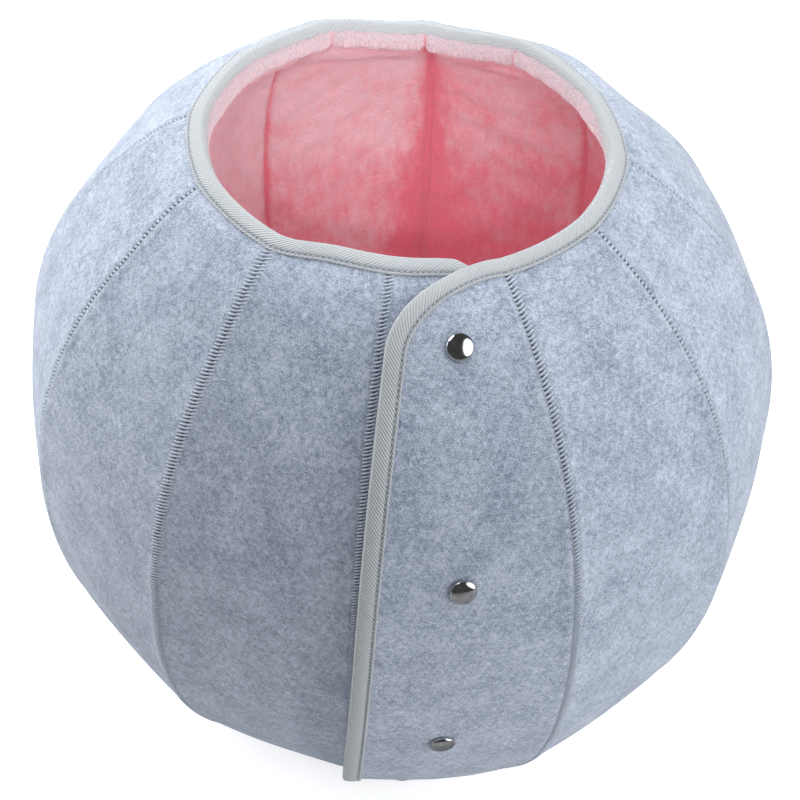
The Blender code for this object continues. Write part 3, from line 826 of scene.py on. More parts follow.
def seam_share(rows):
    """Share of the half width that a panel takes up. It passes the seam, to let no light in."""
    return 1 + SEAM_BITE / half_width(rows)


def seam_swell(distance):
    """The slight swelling beside a seam, a bell of the distance from it."""
    return SWELL_HEIGHT * bell((distance - SWELL_PLACE) / SWELL_RUN)


def seam_groove(distance):
    """Depth of the groove at a seam, a bell of the distance, with the swelling beside it."""
    depth = bpy.context.scene.bed_shape.seam_groove
    return depth * bell(distance / GROOVE_RUN) - seam_swell(distance)


def stitched(seam, on_left, distance):
    """Shade of the felt at a seam: a narrow bell in the holes, a flat one under wide stitches."""
    hole = HOLE_SHADES.get(seam, HOLE_SHADE) * bell(distance / HOLE_RUN)
    if seam not in WIDE_SEAMS:
        return hole
    reach = WIDE_SEAMS[seam][0 if on_left else 1] * bpy.context.scene.bed_shape.seam_reach
    return np.maximum(hole, WIDE_SEAMS[seam][3] * bell(distance / reach, 6))


def rim_fade(rows, low):
    """How far rows are from the nearer rim, as a share of the run from 0 to 1."""
    return np.clip(np.minimum(rows - low, TOP_ARC - rows) / RIM_RUN, 0, 1)


def felt_panel(gore, lateral, rows, face, dents, shade):
    """A felt panel with the face's depth given. Its back follows the dents that bulge out."""
    outer = place(gore, lateral, rows, face)
    inner = place(gore, lateral, rows, FELT_THICKNESS + np.minimum(0, dents))
    return cloth(outer, inner, cloth_map(gore, lateral, rows), groove=shade)


def ring_felt(gore):
    """Felt gore of the ring: its face is the wall, dented softly and rolled in at both seams.

    Its rows are closer together towards the rims.
    """
    climb = np.linspace(0, 1, FELT_ROWS)[:, None]
    climb = 0.6 * climb + 0.4 * (0.5 - 0.5 * np.cos(math.pi * climb))
    rows = BOTTOM_ARC + (TOP_ARC - BOTTOM_ARC) * climb
    share = eased(FELT_COLUMNS)[None, :]
    lateral = share * half_width(rows) * seam_share(rows)
    distance = np.maximum(half_width(rows) - np.abs(lateral), 0)
    rim = rim_fade(rows, BOTTOM_ARC)
    dents = DENT_DEPTH * ripple(lateral, rows, gore, DENT_PITCH) * (1 - share ** 2) * rim
    face = (seam_groove(distance) + dents) * np.minimum(1, rim * RIM_STEEPNESS)
    shade = np.where(
        lateral > 0, stitched(gore, True, distance), stitched(gore - 1, False, distance))
    return felt_panel(gore, lateral, rows, face, dents, shade)


def rim_roll(u, seed, turns, round_way):
    """Roll of plush beside a rim: places past the rim and depths, from the tape to the body.

    It is an arc of an ellipse. Its deep half axis swells in scallops, the size of a sine. The roll
    is small where the way round the axis is near the front, and lies lower and further in by a bell
    of the way from the back.
    """
    angle = np.radians(ROLL_START + ROLL_TURN * turns)
    wave = u + ROLL_WOBBLE * ripple(u, 0 * u, seed, ROLL_WOBBLE_PITCH)
    swell = 0.92 + 0.14 * np.abs(np.sin(math.pi * wave / SCALLOP_PITCH))
    swell = swell + 0.07 * ripple(u, 0.01 * turns + 0 * u, seed + 5, ROLL_PILE_PITCH)
    full = smooth(np.minimum(round_way - ROLL_FROM, ROLL_TO - round_way) / ROLL_EASE)
    size = bpy.context.scene.bed_shape.plush_roll * (0.35 + 0.65 * full)
    back = bell((round_way - ROLL_BACK) / ROLL_BACK_RUN, 4)
    past = size * (-0.26 - 0.14 * back + 1.14 * np.cos(angle))
    depth = WALL + size * (0.30 + 0.32 * back + 1.08 * np.sin(angle) * swell)
    return past + 0 * u, depth


def body_depth(u, body, share, width, climb, seed):
    """Depth of the lining's face between its rolls.

    It swells by one minus the fourth power of the share of the half width, and a bell of the
    distance creases it at the seams. Fine ripples are the pile. Below the top rim it also hangs off
    the felt, as a squared sine.
    """
    shape = bpy.context.scene.bed_shape
    puff = shape.plush_puff * np.abs(np.sin(math.pi * climb)) ** 0.6 * (1 - share ** 4)
    crease = CREASE_DEPTH * bell((width - np.abs(share * width)) / CREASE_RUN)
    pile = PILE_HEIGHT * ripple(u, body, seed + 7, PILE_PITCH)
    pile = pile + TUFT_HEIGHT * ripple(u, body, seed + 19, TUFT_PITCH)
    fade = smooth(np.minimum(climb, 1 - climb) / 0.07)
    below = np.clip((TOP_ARC - ROLL_REACH * shape.plush_roll - body) / SAG_RUN, 0, 1)
    sag = shape.plush_sag * np.sin(math.pi * below) ** 2 * fade
    swell = (BODY_REST + puff + pile - crease) * fade + BODY_END * (1 - fade) + sag
    return WALL + np.maximum(swell, -BODY_END)


def body_shade(gore, u, body, share, width, climb, near):
    """Shade of the lining's face: at its seams and ends, in a streak at the back, and low down."""
    distance = width - np.abs(share * width)
    shade = 0.80 * bell(distance / SEAM_SHADE_RUN) + 0.7 * near
    if gore in BACK_GORES:
        away = width - share * width * BACK_GORES[gore]
        streaks = 1 + 0.55 * ripple(6 * u, body, 90, STREAK_PITCH)
        reach = STREAK_HALF_WIDTH + STREAK_SPREAD * np.clip(0.85 - climb, 0, 1) ** 1.3
        shade = shade + 0.75 * bell(away / (reach * streaks))
    # The table paints light on some gores and shade on others
    return shade + 0.60 * np.clip((0.66 - climb) / 0.30, 0, 1) - NAP_LIGHT_AND_SHADE[gore] * (1 - 0.6 * near)


def ring_plush(gore):
    """Plush gore of the ring: a back against the felt, a face that swells between its seams and a
    roll beside each rim. The roll is nicked at the seams at the back, by a bell of the way round.
    """
    share = eased(PLUSH_COLUMNS)[None, :]
    turns = np.linspace(0, 1, ROLL_ROWS)[:, None]
    start = ROLL_REACH * bpy.context.scene.bed_shape.plush_roll
    body = np.linspace(BOTTOM_ARC + start, TOP_ARC - start, BODY_ROWS)[:, None]
    width = half_width(body) * seam_share(body)
    u = share * width + MAP_SHIFT * gore
    climb = np.clip((body - BOTTOM_ARC - start) / (TOP_ARC - BOTTOM_ARC - 2 * start), 0, 1)
    near = bell(np.minimum(climb, 1 - climb) / 0.012)
    face_depth = body_depth(u, body, share, width, climb, gore)
    shade = body_shade(gore, u, body, share, width, climb, near)
    way = GORE_DEGREES * (gore + share / 2)
    full = bell((way - NICK_BACK) / NICK_BACK_RUN, 4)
    ends = []
    for rim, side in ((BOTTOM_ARC, -1), (TOP_ARC, 1)):
        lateral = share * half_width(rim)
        past, depth = rim_roll(lateral + MAP_SHIFT * gore, gore + 40, turns, way)
        nick = full * bell((half_width(rim) - np.abs(lateral)) / NICK_RUN)
        ends.append((rim + side * (past - NICK_PAST * nick), depth - NICK_DEPTH * nick))
    arc = np.concatenate([ends[0][0], body + 0 * share, ends[1][0][::-1]])
    depth = np.concatenate([ends[0][1], face_depth, ends[1][1][::-1]])
    turned = np.concatenate([turns, 1 + 0 * body, turns[::-1]]) + 0 * share
    # Painted shade in the nicks at the back, and where each roll turns under into the body
    nicked = half_width(TOP_ARC) * (1 - np.abs(share)) / NICK_SHADE_RUN
    nicked = NICK_SHADE * full * bell(nicked) + 0 * turns
    end = np.maximum(np.clip((turns - 0.72) / 0.2, 0, 1), nicked)
    edge = np.clip((0.80 - turned) / 0.12, 0, 1)
    edge = edge * (1 - np.concatenate([nicked, 0 * shade, nicked]))
    back = np.clip(arc, BOTTOM_ARC, TOP_ARC)
    lateral = share * half_width(arc) * seam_share(arc)
    outer = place(gore, share * half_width(back) * seam_share(back), back, PLUSH_DEPTH)
    inner = place(gore, lateral, arc, depth)
    uv = cloth_map(gore, lateral, arc + (depth - WALL))
    groove = np.clip(np.concatenate([end, shade, end[::-1]]), -0.5, 1)
    return cloth(outer, inner, uv, groove=groove, edge=edge)


# Lapping gores, each given as its gore, its free edge's side, that edge's reach and its lowest arc

def flap_reach(arc):
    """How far the flap's free edge lies from the middle of its gore."""
    return half_width(arc) - FLAP_SHORTFALL - FLAP_LEAN_SHARE * arc


def underlap_reach(arc):
    """How far the underlap's free edge lies from the middle of its gore."""
    return half_width(arc) - UNDERLAP_SHORTFALL


def free_edge(reach, low):
    """Arcs down a free edge and its distance from the gore's middle, with rounded corners.

    A corner is a quarter superellipse: drop L (1 - cos^p), inset W (1 - sin^p), with p 2 over its
    fullness.
    """
    angle = np.linspace(0, math.pi / 2, CORNER_STEPS)
    power = 2 / CORNER_FULLNESS_SHARE
    size = UNDERLAP_CORNER_SHARE if reach is underlap_reach else 1.0
    drop = size * CORNER_LENGTH * (1 - np.abs(np.cos(angle)) ** power)
    inset = size * CORNER_WIDTH * (1 - np.sin(angle) ** power)
    corners = np.concatenate([low + drop, (TOP_ARC - drop)[::-1]])
    insets = np.concatenate([inset, inset[::-1]])
    past_corner = size * CORNER_LENGTH
    middle = np.arange(low + past_corner + EDGE_STEP, TOP_ARC - past_corner, EDGE_STEP)
    arcs = np.sort(np.concatenate([corners, middle]))[::-1]
    arcs = arcs[np.concatenate([[True], np.diff(arcs) < -EDGE_STEP / CORNER_STEPS])]
    return arcs, reach(arcs) - np.interp(arcs, corners, insets)


def lap_grid(side, reach, low):
    """Lateral places and arcs of a lapping gore, from its seam to its rounded free edge."""
    arcs, edge = free_edge(reach, low)
    rows = arcs[::-1][:, None]
    seam = half_width(rows) * seam_share(rows)
    lateral = -seam + (edge[::-1][:, None] + seam) * (eased(FELT_COLUMNS)[None, :] + 1) / 2
    return (lateral if side > 0 else -lateral[:, ::-1]), rows


def lap_felt(gore, side, reach, low):
    """Felt of a lapping gore, grooved at its one seam, dented softly and flat round the snaps."""
    lateral, rows = lap_grid(side, reach, low)
    distance = np.maximum(half_width(rows) + side * lateral, 0)
    share = lateral / half_width(rows)
    flat = np.ones_like(lateral)
    for arc in SNAP_ARCS:
        away = np.hypot(lateral - (SNAP_LEAN_SHARE * arc - SNAP_OFFSET), rows - arc)
        flat = flat * (1 - bell(away / SNAP_FLAT_RADIUS, 4))
    rim = rim_fade(rows, low)
    dents = LAP_DENT_DEPTH * ripple(lateral, rows, gore + 3, DENT_PITCH)
    dents = dents * np.clip(1 - share ** 2, 0, 1) * rim * flat
    face = seam_groove(distance) * np.minimum(1, rim * RIM_STEEPNESS) + dents
    shade = stitched(FLAP if gore == FLAP else gore - 1, gore == FLAP, distance)
    return felt_panel(gore, lateral, rows, face, dents, shade)


def lap_plush(gore, side, reach, low):
    """Plush of a lapping gore. It is thin, because it lies pressed between the two laps."""
    lateral, rows = lap_grid(side, reach, low)
    distance = half_width(rows) + side * lateral
    depth = WALL - LAP_PILE_DEPTH * (1 + ripple(lateral, rows, gore + 11, LAP_PILE_PITCH))
    if gore == UNDERLAP:
        inside = np.minimum(TOP_ARC - rows, rows - low) / UNDERLAP_RIM_RUN - 0.5
        inside = np.clip(inside, 0, 1) * np.clip(distance / UNDERLAP_PRESS_RUN, 0, 1)
        depth = depth + UNDERLAP_PRESS * inside
    outer = place(gore, lateral, rows, PLUSH_DEPTH)
    inner = place(gore, lateral, rows, depth)
    # Painted shade on the plush beside its seam
    groove = bell(distance / LAP_SHADE_RUN)
    uv = cloth_map(gore, lateral, rows)
    return cloth(outer, inner, uv, groove=groove, edge=np.zeros_like(groove))


# Binding tape

def tape_profile():
    """Outer face of the folded tape across its width: distance past the bound edge, and depth.

    From its edge on the felt it goes over a lip, a stitched groove and a crowned band, round the
    fold as half an ellipse, and a short way down the plush. The last result is 1 in the groove.
    """
    angle = np.linspace(-math.pi / 2, math.pi / 2, FOLD_STEPS)
    fold_past = (CLEARANCE + TAPE_FOLD) * np.cos(angle) ** 0.8
    fold_depth = WALL / 2 + (WALL / 2 + FOLD_SWELL) * np.sin(angle)
    past = np.concatenate([TAPE_PAST, fold_past, TAPE_END_PAST])
    depth = np.concatenate([TAPE_DEPTHS, fold_depth, TAPE_END_DEPTHS])
    # The groove mask marks where shade is painted on the tape, in its stitched groove
    groove = bell((past + TAPE_GROOVE) / TAPE_GROOVE_RUN) * (depth < 0)
    return past, depth, run_along(past, depth), groove


def inner_profile(past, depth):
    """The profile moved in square to itself, by most of the tape's thickness."""
    along = np.stack([np.gradient(past), np.gradient(depth)])
    along = along / np.hypot(*along) * TAPE_INSET
    return past - along[1], depth + along[0]


def tape_cloth(outer, inner, path_length, profile_length, groove):
    """A tape from its two grids, with its UV along and across it."""
    u, v = np.meshgrid(path_length, profile_length, indexing="ij")
    return cloth(outer, inner, np.stack([u, v], axis=-1), groove=np.broadcast_to(groove, u.shape))


def rim_tape(arc, side):
    """Tape round a rim over the ring's gores. side is 1 at the top rim and -1 at the bottom one."""
    past, depth, length, groove = tape_profile()
    width = 2 * float(half_width(arc))
    profiles = (past, depth), inner_profile(past, depth)
    grids, path = ([], []), []
    for gore in RING:
        shares = np.linspace(-1, 1, TAPE_COLUMNS)[:None if gore == RING[-1] else -1]
        step = (gore - 1 + (shares + 1) / 2) * width
        pucker = PUCKER_DEPTH * np.sin(2 * math.pi * step / PUCKER_PITCH)[:, None]
        for grid, (p, d) in zip(grids, profiles):
            arcs = (arc + side * p)[None, :]
            lateral = shares[:, None] * half_width(arcs)
            grid.append(place(gore, lateral, arcs, d[None, :] + pucker))
        path.append(step)
    outer, inner, path = (np.concatenate(parts) for parts in (*grids, path))
    return tape_cloth(outer, inner, path, length, groove)


def lap_path(side, reach, low):
    """Path of a lapping gore's tape: lateral place, arc and the way out."""
    arcs, edge = free_edge(reach, low)
    top = np.linspace(-half_width(TOP_ARC), edge[0], TAPE_END_ROWS)[:-1]
    foot = np.linspace(edge[-1], -half_width(low), TAPE_END_ROWS)[1:]
    lateral = np.concatenate([top, edge, foot])
    arc = np.concatenate([np.full(len(top), arcs[0]), arcs, np.full(len(foot), arcs[-1])])
    way = np.stack([np.gradient(lateral), np.gradient(arc)])
    for _ in range(3):
        way[:, 1:-1] = (way[:, :-2] + 2 * way[:, 1:-1] + way[:, 2:]) / 4
    way /= np.hypot(*way)
    return side * lateral, arc, np.stack([-side * way[1], way[0]])


def beside_path(side, reach, low, past):
    """Places beside a tape's path, at distances past it. Near the seam they keep to its slant."""
    lateral, arc, out = lap_path(side, reach, low)
    s = arc[:, None] + out[1][:, None] * past
    x = lateral[:, None] + out[0][:, None] * past
    near = np.clip(-side * lateral / half_width(arc), 0, 1)[:, None] ** 2
    return x + near * lateral[:, None] * (half_width(s) / half_width(arc)[:, None] - 1), s


def lap_tape(gore, side, reach, low):
    """Tape of a lapping gore: along its top, round the corner, down its free edge and back."""
    past, depth, length, groove = tape_profile()
    grids = [place(gore, *beside_path(side, reach, low, p), d[None, :])
             for p, d in ((past, depth), inner_profile(past, depth))]
    steps = np.linalg.norm(np.diff(grids[0][:, 8], axis=0), axis=1)
    path = np.concatenate([[0], np.cumsum(steps)])
    return tape_cloth(*grids, side * path, length, groove)


# Threads

def seam_threads(seam):
    """Threads over a seam: a short fat loop at every stitch, and longer bars on wide stitches.

    Each rises over the groove and dives into the felt at its ends, as the cube of its share.
    """
    shape = bpy.context.scene.bed_shape
    left, right, pitch_share = WIDE_SEAMS.get(seam, (0, 0, 1.0, 0))[:3]
    low, high = BOTTOM_ARC + TAPE_WIDTH + MM, TOP_ARC - TAPE_WIDTH - MM
    count = int((high - low) / (pitch_share * shape.seam_pitch))
    arcs = np.linspace(low, high, count)[:, None]
    draw = np.random.default_rng(300 + seam)
    share = THREAD_STATIONS

    def bars(left, right, thick, slant, rise):
        stray = 1 + draw.uniform(-STITCH_STRAY_SHARE, STITCH_STRAY_SHARE, arcs.shape)
        offset = np.where(share < 0, left, right) * share * stray * shape.seam_reach
        arc = arcs + draw.uniform(-STITCH_SHIFT, STITCH_SHIFT, arcs.shape) + offset * slant
        depth = ((0.5 + rise) * thick + STITCH_LIFT) * np.abs(share) ** 3 - rise * thick
        depth = depth - seam_swell(np.abs(offset))
        return tubes(at_seam(seam, offset, arc, depth), thick / 2, THREAD_SIDES)

    thick = shape.seam_thread
    parts = [bars(LOOP_REACH, LOOP_REACH, thick * pitch_share, LOOP_SLANT, LOOP_RISE)]
    if seam in WIDE_SEAMS:
        parts.append(bars(left, right, thick * BAR_THICKNESS, BAR_SLANT, BAR_RISE))
    points = np.concatenate([part[0] for part in parts])
    return points, np.concatenate([part[1] + n * len(parts[0][0]) for n, part in enumerate(parts)])


def tape_stitches(paths):
    """Short stitches in the tape's groove, from their paths."""
    return tubes(paths, bpy.context.scene.bed_shape.tape_thread / 2, TAPE_THREAD_SIDES)


def rim_stitches(arc, side):
    """Stitches round a rim, at an even pitch over each gore, in the tape's groove."""
    pitch = bpy.context.scene.bed_shape.tape_pitch
    groove = arc - side * TAPE_GROOVE
    width = 2 * float(half_width(groove))
    count = int(width / pitch)
    middles = (np.arange(count) + 0.5) / count * width - width / 2
    lateral = middles[:, None] + STITCH_SHARES * pitch
    paths = [place(gore, lateral, groove, STITCH_DEPTHS) for gore in RING]
    return tape_stitches(np.concatenate(paths))


def lap_stitches(gore, side, reach, low):
    """Stitches along a lapping gore's tape, at an even pitch along its groove."""
    pitch = bpy.context.scene.bed_shape.tape_pitch
    x, s = (grid[:, 0] for grid in beside_path(side, reach, low, np.array([-TAPE_GROOVE])))
    run = run_along(x, s)
    where = np.arange(pitch, run[-1] - pitch, pitch)[:, None] + STITCH_SHARES * pitch
    lateral, arc = np.interp(where, run, x), np.interp(where, run, s)
    return tape_stitches(place(gore, lateral, arc, STITCH_DEPTHS))


# Press snaps

def snap_matrix(arc):
    """Where a snap sits on the flap: its centre, and axes along the face and square to it."""
    lateral = SNAP_LEAN_SHARE * arc - SNAP_OFFSET
    centre, right, above = (
        Vector(place(FLAP, lateral + x, arc + s, 0.0))
        for x, s in ((0, 0), (CLEARANCE, 0), (0, CLEARANCE)))
    x_axis = (right - centre).normalized()
    z_axis = x_axis.cross(above - centre).normalized()
    turn = Matrix((x_axis, z_axis.cross(x_axis), z_axis)).transposed().to_4x4()
    return np.array(Matrix.Translation(centre) @ turn)


def rounded(profile):
    """A profile with each corner swapped for points of a quadratic curve."""
    profile = np.array(profile, float)
    made = [profile[0]]
    for before, corner, after in zip(profile[:-2], profile[1:-1], profile[2:]):
        a, b = (corner + way * min(0.45, ROUNDING / max(np.linalg.norm(way), 1e-9))
                for way in (before - corner, after - corner))
        t = np.linspace(0, 1, ROUNDING_STEPS)[:, None]
        made.extend((1 - t) ** 2 * a + 2 * t * (1 - t) * corner + t ** 2 * b)
    made.append(profile[-1])
    return np.array(made)


def snap_profiles():
    """Profiles of a snap's four pieces, as radius and height on its axis."""
    angle = np.linspace(0, math.pi / 2, DOME_STEPS)
    dome_height = CLEARANCE + CAP_EDGE + CAP_DOME * np.cos(angle)
    dome = np.stack([CAP_RADIUS * np.sin(angle), dome_height], axis=1)
    cavity = PLUSH_DEPTH + SOCKET_FLOOR
    tip = -(cavity - CLEARANCE)
    skirt = rounded([
        dome[-1], (CAP_RADIUS, CLEARANCE + BEVEL), (CAP_RADIUS - EDGE_BEVEL, CLEARANCE),
        (POST_RADIUS, CLEARANCE), (POST_RADIUS, tip), (0, tip)])
    hole = POST_RADIUS + CLEARANCE
    socket = rounded([
        (hole, -PLUSH_DEPTH), (SOCKET_RADIUS, -PLUSH_DEPTH), (SOCKET_RADIUS, -WALL + EDGE_BEVEL),
        (SOCKET_RADIUS - SOCKET_BEVEL, -WALL), (SOCKET_CAVITY_RADIUS, -WALL),
        (SOCKET_CAVITY_RADIUS, -cavity), (hole, -cavity), (hole, -PLUSH_DEPTH)])
    top = LAP - cavity - CLEARANCE
    bore = STUD_RADIUS + CLEARANCE
    neck = bore + STUD_WALL
    stud = rounded([
        (0, top), (neck, top), (neck + PLATE, top - STUD_STEP), (neck, top - 2 * STUD_STEP),
        (neck, CLEARANCE + PLATE), (PLATE_RADIUS, CLEARANCE + PLATE), (PLATE_RADIUS, CLEARANCE),
        (bore, CLEARANCE), (bore, top - STUD_TOP), (0, top - STUD_TOP)])
    back = -PLUSH_DEPTH - PLATE
    eyelet = rounded([
        (0, top - 2 * STUD_STEP), (STUD_RADIUS, top - 2 * STUD_STEP), (STUD_RADIUS, -PLUSH_DEPTH),
        (PLATE_RADIUS, -PLUSH_DEPTH), (PLATE_RADIUS, back + BEVEL), (PLATE_RADIUS - BEVEL, back),
        (0, back)])
    cap = np.concatenate([dome, skirt[1:]])
    return {"cap": cap, "socket": socket, "stud": stud, "eyelet": eyelet}


# Operators, one for each piece or group of like pieces

def build_lap(name, lap, body):
    """Build the felt, plush, tape and stitches of a lapping gore."""
    reach, low = lap[2:]
    for kind, make in (("felt", lap_felt), ("plush", lap_plush)):
        item = add_piece(f"{name}_{kind}_gore", make(*lap), kind, [f"{name}_{kind}"], body)
        declare_cloth(item, low, reach)
    add_piece(f"{name}_binding", lap_tape(*lap), "tape", [f"{name}_tape"], body)
    add_piece(f"{name}_stitches", lap_stitches(*lap), "thread", [], body)


class BED_OT_ring_felt(bpy.types.Operator):
    """Build the eleven felt gores of the ring"""
    bl_idname = "bed.ring_felt"
    bl_label = "Ring felt"

    def execute(self, context):
        for gore in RING:
            declare_cloth(add_piece(
                f"felt_gore_{gore:02d}", ring_felt(gore), "felt", [f"felt_panel_{gore:02d}"],
                "ring"))
        return {"FINISHED"}


class BED_OT_ring_plush(bpy.types.Operator):
    """Build the eleven plush gores of the ring's lining"""
    bl_idname = "bed.ring_plush"
    bl_label = "Ring lining"

    def execute(self, context):
        for gore in RING:
            declare_cloth(add_piece(
                f"plush_gore_{gore:02d}", ring_plush(gore), "plush", [f"plush_panel_{gore:02d}"],
                "ring"))
        return {"FINISHED"}


class BED_OT_underlap(bpy.types.Operator):
    """Build the underlap's felt, plush and tape"""
    bl_idname = "bed.underlap"
    bl_label = "Underlap"

    def execute(self, context):
        build_lap("underlap", (UNDERLAP, 1, underlap_reach, BOTTOM_ARC), "ring")
        return {"FINISHED"}


class BED_OT_flap(bpy.types.Operator):
    """Build the flap's felt, plush and tape"""
    bl_idname = "bed.flap"
    bl_label = "Flap"

    def execute(self, context):
        build_lap("flap", (FLAP, -1, flap_reach, FLAP_BOTTOM_ARC), None)
        return {"FINISHED"}


class BED_OT_rim_tapes(bpy.types.Operator):
    """Build the binding tape round both rims, with its stitches"""
    bl_idname = "bed.rim_tapes"
    bl_label = "Rim tapes"

    def execute(self, context):
        for name, arc, side in (("top", TOP_ARC, 1), ("bottom", BOTTOM_ARC, -1)):
            tape, stitches = rim_tape(arc, side), rim_stitches(arc, side)
            add_piece(f"rim_binding_{name}", tape, "tape", [f"rim_tape_{name}"], "ring")
            add_piece(f"rim_stitches_{name}", stitches, "thread", [], "ring")
        return {"FINISHED"}


class BED_OT_seams(bpy.types.Operator):
    """Build the thread bars across the twelve seams"""
    bl_idname = "bed.seams"
    bl_label = "Seams"

    def execute(self, context):
        for seam in range(GORE_COUNT):
            add_piece(f"seam_thread_{seam:02d}", seam_threads(seam), "thread", [], "ring")
        return {"FINISHED"}


class BED_OT_snaps(bpy.types.Operator):
    """Build the four press snaps, each of a cap, a socket, a stud and an eyelet"""
    bl_idname = "bed.snaps"
    bl_label = "Press snaps"

    def execute(self, context):
        profiles = snap_profiles()
        lower = np.array(Matrix.Translation((0, 0, -LAP)))
        for number, arc in enumerate(SNAP_ARCS, start=1):
            outer = snap_matrix(arc)
            for kind, body in (("cap", "flap"), ("socket", "flap"), ("stud", "ring"),
                               ("eyelet", "ring")):
                matrix = outer if body == "flap" else outer @ lower
                points, quads = lathe(profiles[kind], SNAP_SIDES)
                points = points @ matrix[:3, :3].T + matrix[:3, 3]
                add_piece(f"press_{kind}_{number}", (points, quads), "metal",
                          [f"snap_{kind}_{number}"], body)
        return {"FINISHED"}


class BED_OT_stage(bpy.types.Operator):
    """Build the floor, the lights, the world and the camera"""
    bl_idname = "bed.stage"
    bl_label = "Stage"

    def execute(self, context):
        build_floor(context)
        build_lamps(context)
        build_world(context)
        build_camera(context)
        context.scene.view_settings.view_transform = "Standard"
        return {"FINISHED"}


# Stage

def build_camera(context):
    """The camera of the fitted view, from its tilt, roll, turn, distance and focal length."""
    right = Vector((1, 0, 0))
    up = Vector((0, math.sin(CAMERA_TILT), math.cos(CAMERA_TILT)))
    back = Vector((0, -math.cos(CAMERA_TILT), math.sin(CAMERA_TILT)))
    x_axis = math.cos(CAMERA_ROLL) * right + math.sin(CAMERA_ROLL) * up
    y_axis = -math.sin(CAMERA_ROLL) * right + math.cos(CAMERA_ROLL) * up
    spin = Matrix.Rotation(-CAMERA_TURN, 3, "Z")
    axes = Matrix((spin @ x_axis, spin @ y_axis, spin @ back)).transposed()
    data = bpy.data.cameras.new("photo_camera")
    data.sensor_width = SENSOR
    data.lens = CAMERA_FOCAL * SENSOR / FRAME_SIDE
    data.shift_x = (FRAME_SIDE / 2 - CAMERA_MIDDLE[0]) / FRAME_SIDE
    data.shift_y = (CAMERA_MIDDLE[1] - FRAME_SIDE / 2) / FRAME_SIDE
    data.clip_start, data.clip_end = CAMERA_CLIP
    camera = bpy.data.objects.new("photo_camera", data)
    context.scene.collection.objects.link(camera)
    place_at = Vector(CENTRE) + (spin @ back) * CAMERA_DISTANCE
    camera.matrix_world = Matrix.Translation(place_at) @ axes.to_4x4()
    context.scene.camera = camera


def seen_ray(tree):
    """1 for camera and transmission rays."""
    path = tree.add("ShaderNodeLightPath").outputs
    return tree.math("MAXIMUM", path["Is Camera Ray"], path["Is Transmission Ray"])


def build_floor(context):
    """White floor that keeps a soft shadow. It glows to seen rays, and more so far off."""
    points = np.array([(-1, -1, 0), (1, -1, 0), (1, 1, 0), (-1, 1, 0)]) * FLOOR_HALF
    mesh = bpy.data.meshes.new("floor")
    mesh.from_pydata([tuple(p) for p in points], [], [(0, 1, 2, 3)])
    floor = bpy.data.objects.new("floor", mesh)
    context.scene.collection.objects.link(floor)
    material = bpy.data.materials.new("floor_white")
    material.use_nodes = True
    tree = Tree(material.node_tree)
    shader = material.node_tree.nodes["Principled BSDF"]
    # Painted reflection: glossy rays see the floor darker than it is
    mirrored = tree.add("ShaderNodeLightPath").outputs["Is Glossy Ray"]
    shade = tree.mix(mirrored, FLOOR_COLOUR, MIRRORED_FLOOR_COLOUR)
    material.node_tree.links.new(shade, shader.inputs["Base Color"])
    shader.inputs["Roughness"].default_value = 0.9
    shader.inputs["Specular IOR Level"].default_value = 0.0
    away = tree.add("ShaderNodeVectorMath", {0: tree.place()}, operation="LENGTH").outputs["Value"]
    glow = tree.math("ADD", tree.ramp(away, *GLOW_RUN, FAR_GLOW), FLOOR_GLOW)
    strength = tree.math("MULTIPLY", seen_ray(tree), glow)
    light = tree.add("ShaderNodeEmission", {"Color": (1, 1, 1, 1), "Strength": strength})
    both = tree.add("ShaderNodeAddShader", {0: shader.outputs[0], 1: light.outputs[0]})
    output = next(n for n in material.node_tree.nodes if n.type == "OUTPUT_MATERIAL")
    material.node_tree.links.new(both.outputs[0], output.inputs["Surface"])
    mesh.materials.append(material)


def add_lamp(context, name, kind, power, spot, aim):
    """A lamp of a kind at a spot, turned to its aim."""
    data = bpy.data.lights.new(name, kind)
    data.energy = power
    lamp = bpy.data.objects.new(name, data)
    context.scene.collection.objects.link(lamp)
    lamp.location = spot
    lamp.rotation_mode = "QUATERNION"
    lamp.rotation_quaternion = (Vector(aim) - Vector(spot)).to_track_quat("-Z", "Y")
    return lamp


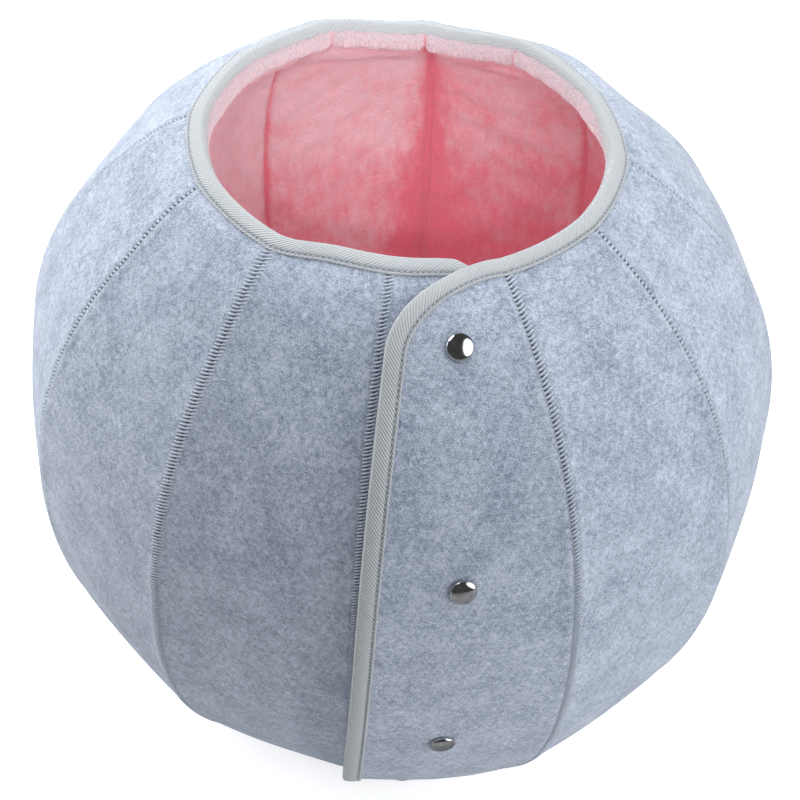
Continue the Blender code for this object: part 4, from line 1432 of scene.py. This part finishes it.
def build_lamps(context):
    """Softboxes round the bed, and the two lamps of its hollow."""
    for name, right, up, distance, across, power in LIGHTS:
        turn, climb = math.radians(right), math.radians(up)
        way = Vector((math.cos(climb) * math.sin(turn), -math.cos(climb) * math.cos(turn),
                      math.sin(climb)))
        lamp = add_lamp(context, name, "AREA", power, Vector(CENTRE) + distance * way, CENTRE)
        lamp.data.shape, lamp.data.size = "DISK", across
        lamp.visible_glossy = name not in UNMIRRORED
    lamp = add_lamp(context, "hole_spot", "SPOT", HOLE_SPOT_POWER, HOLE_SPOT, HOLE_SPOT_AIM)
    lamp.data.spot_blend, lamp.data.shadow_soft_size = HOLE_SPOT_BLEND, HOLE_SPOT_SIZE
    lamp.data.spot_size = 2 * math.atan(HOLE_SPOT_REACH / math.dist(HOLE_SPOT, HOLE_SPOT_AIM))
    lamp.visible_glossy = False
    lamp = add_lamp(context, "hollow_lamp", "AREA", HOLLOW_LAMP_POWER, HOLLOW_LAMP, HOLLOW_LAMP_AIM)
    lamp.data.shape, lamp.data.size = "SQUARE", HOLLOW_LAMP_SIDE
    lamp.visible_camera = lamp.visible_glossy = False


def build_world(context):
    """World that is white to seen rays and dim to others."""
    world = bpy.data.worlds.new("studio")
    context.scene.world = world
    world.use_nodes = True
    tree = Tree(world.node_tree)
    background = next(n for n in world.node_tree.nodes if n.type == "BACKGROUND")
    strength = tree.math("MAXIMUM", seen_ray(tree), AMBIENT)
    world.node_tree.links.new(strength, background.inputs["Strength"])
    background.inputs["Color"].default_value = (1.0, 1.0, 1.0, 1.0)


class BED_PT_panel(bpy.types.Panel):
    """Lists the bed's steps and settings"""
    bl_idname = "BED_PT_panel"
    bl_label = "Tunnel Bed"
    bl_space_type = "VIEW_3D"
    bl_region_type = "UI"
    bl_category = "Tunnel Bed"

    def draw(self, context):
        for operator in OPERATORS:
            self.layout.operator(operator.bl_idname)
        for settings in (context.scene.bed_shape, context.scene.bed_colours):
            for name in settings.bl_rna.properties.keys():
                if name not in ("rna_type", "name"):
                    self.layout.prop(settings, name)


OPERATORS = (BED_OT_ring_felt, BED_OT_ring_plush, BED_OT_underlap, BED_OT_flap, BED_OT_rim_tapes,
             BED_OT_seams, BED_OT_snaps, BED_OT_stage)
CLASSES = (BedShape, BedColours, *OPERATORS, BED_PT_panel)


def register():
    for item in CLASSES:
        bpy.utils.register_class(item)
    bpy.types.Scene.bed_shape = bpy.props.PointerProperty(type=BedShape)
    bpy.types.Scene.bed_colours = bpy.props.PointerProperty(type=BedColours)


def unregister():
    del bpy.types.Scene.bed_colours
    del bpy.types.Scene.bed_shape
    for item in reversed(CLASSES):
        bpy.utils.unregister_class(item)


def main():
    register()
    bpy.ops.bed.ring_felt()
    bpy.ops.bed.ring_plush()
    bpy.ops.bed.underlap()
    bpy.ops.bed.flap()
    bpy.ops.bed.rim_tapes()
    bpy.ops.bed.seams()
    bpy.ops.bed.snaps()
    bpy.ops.bed.stage()


if __name__ == "__main__":
    main()
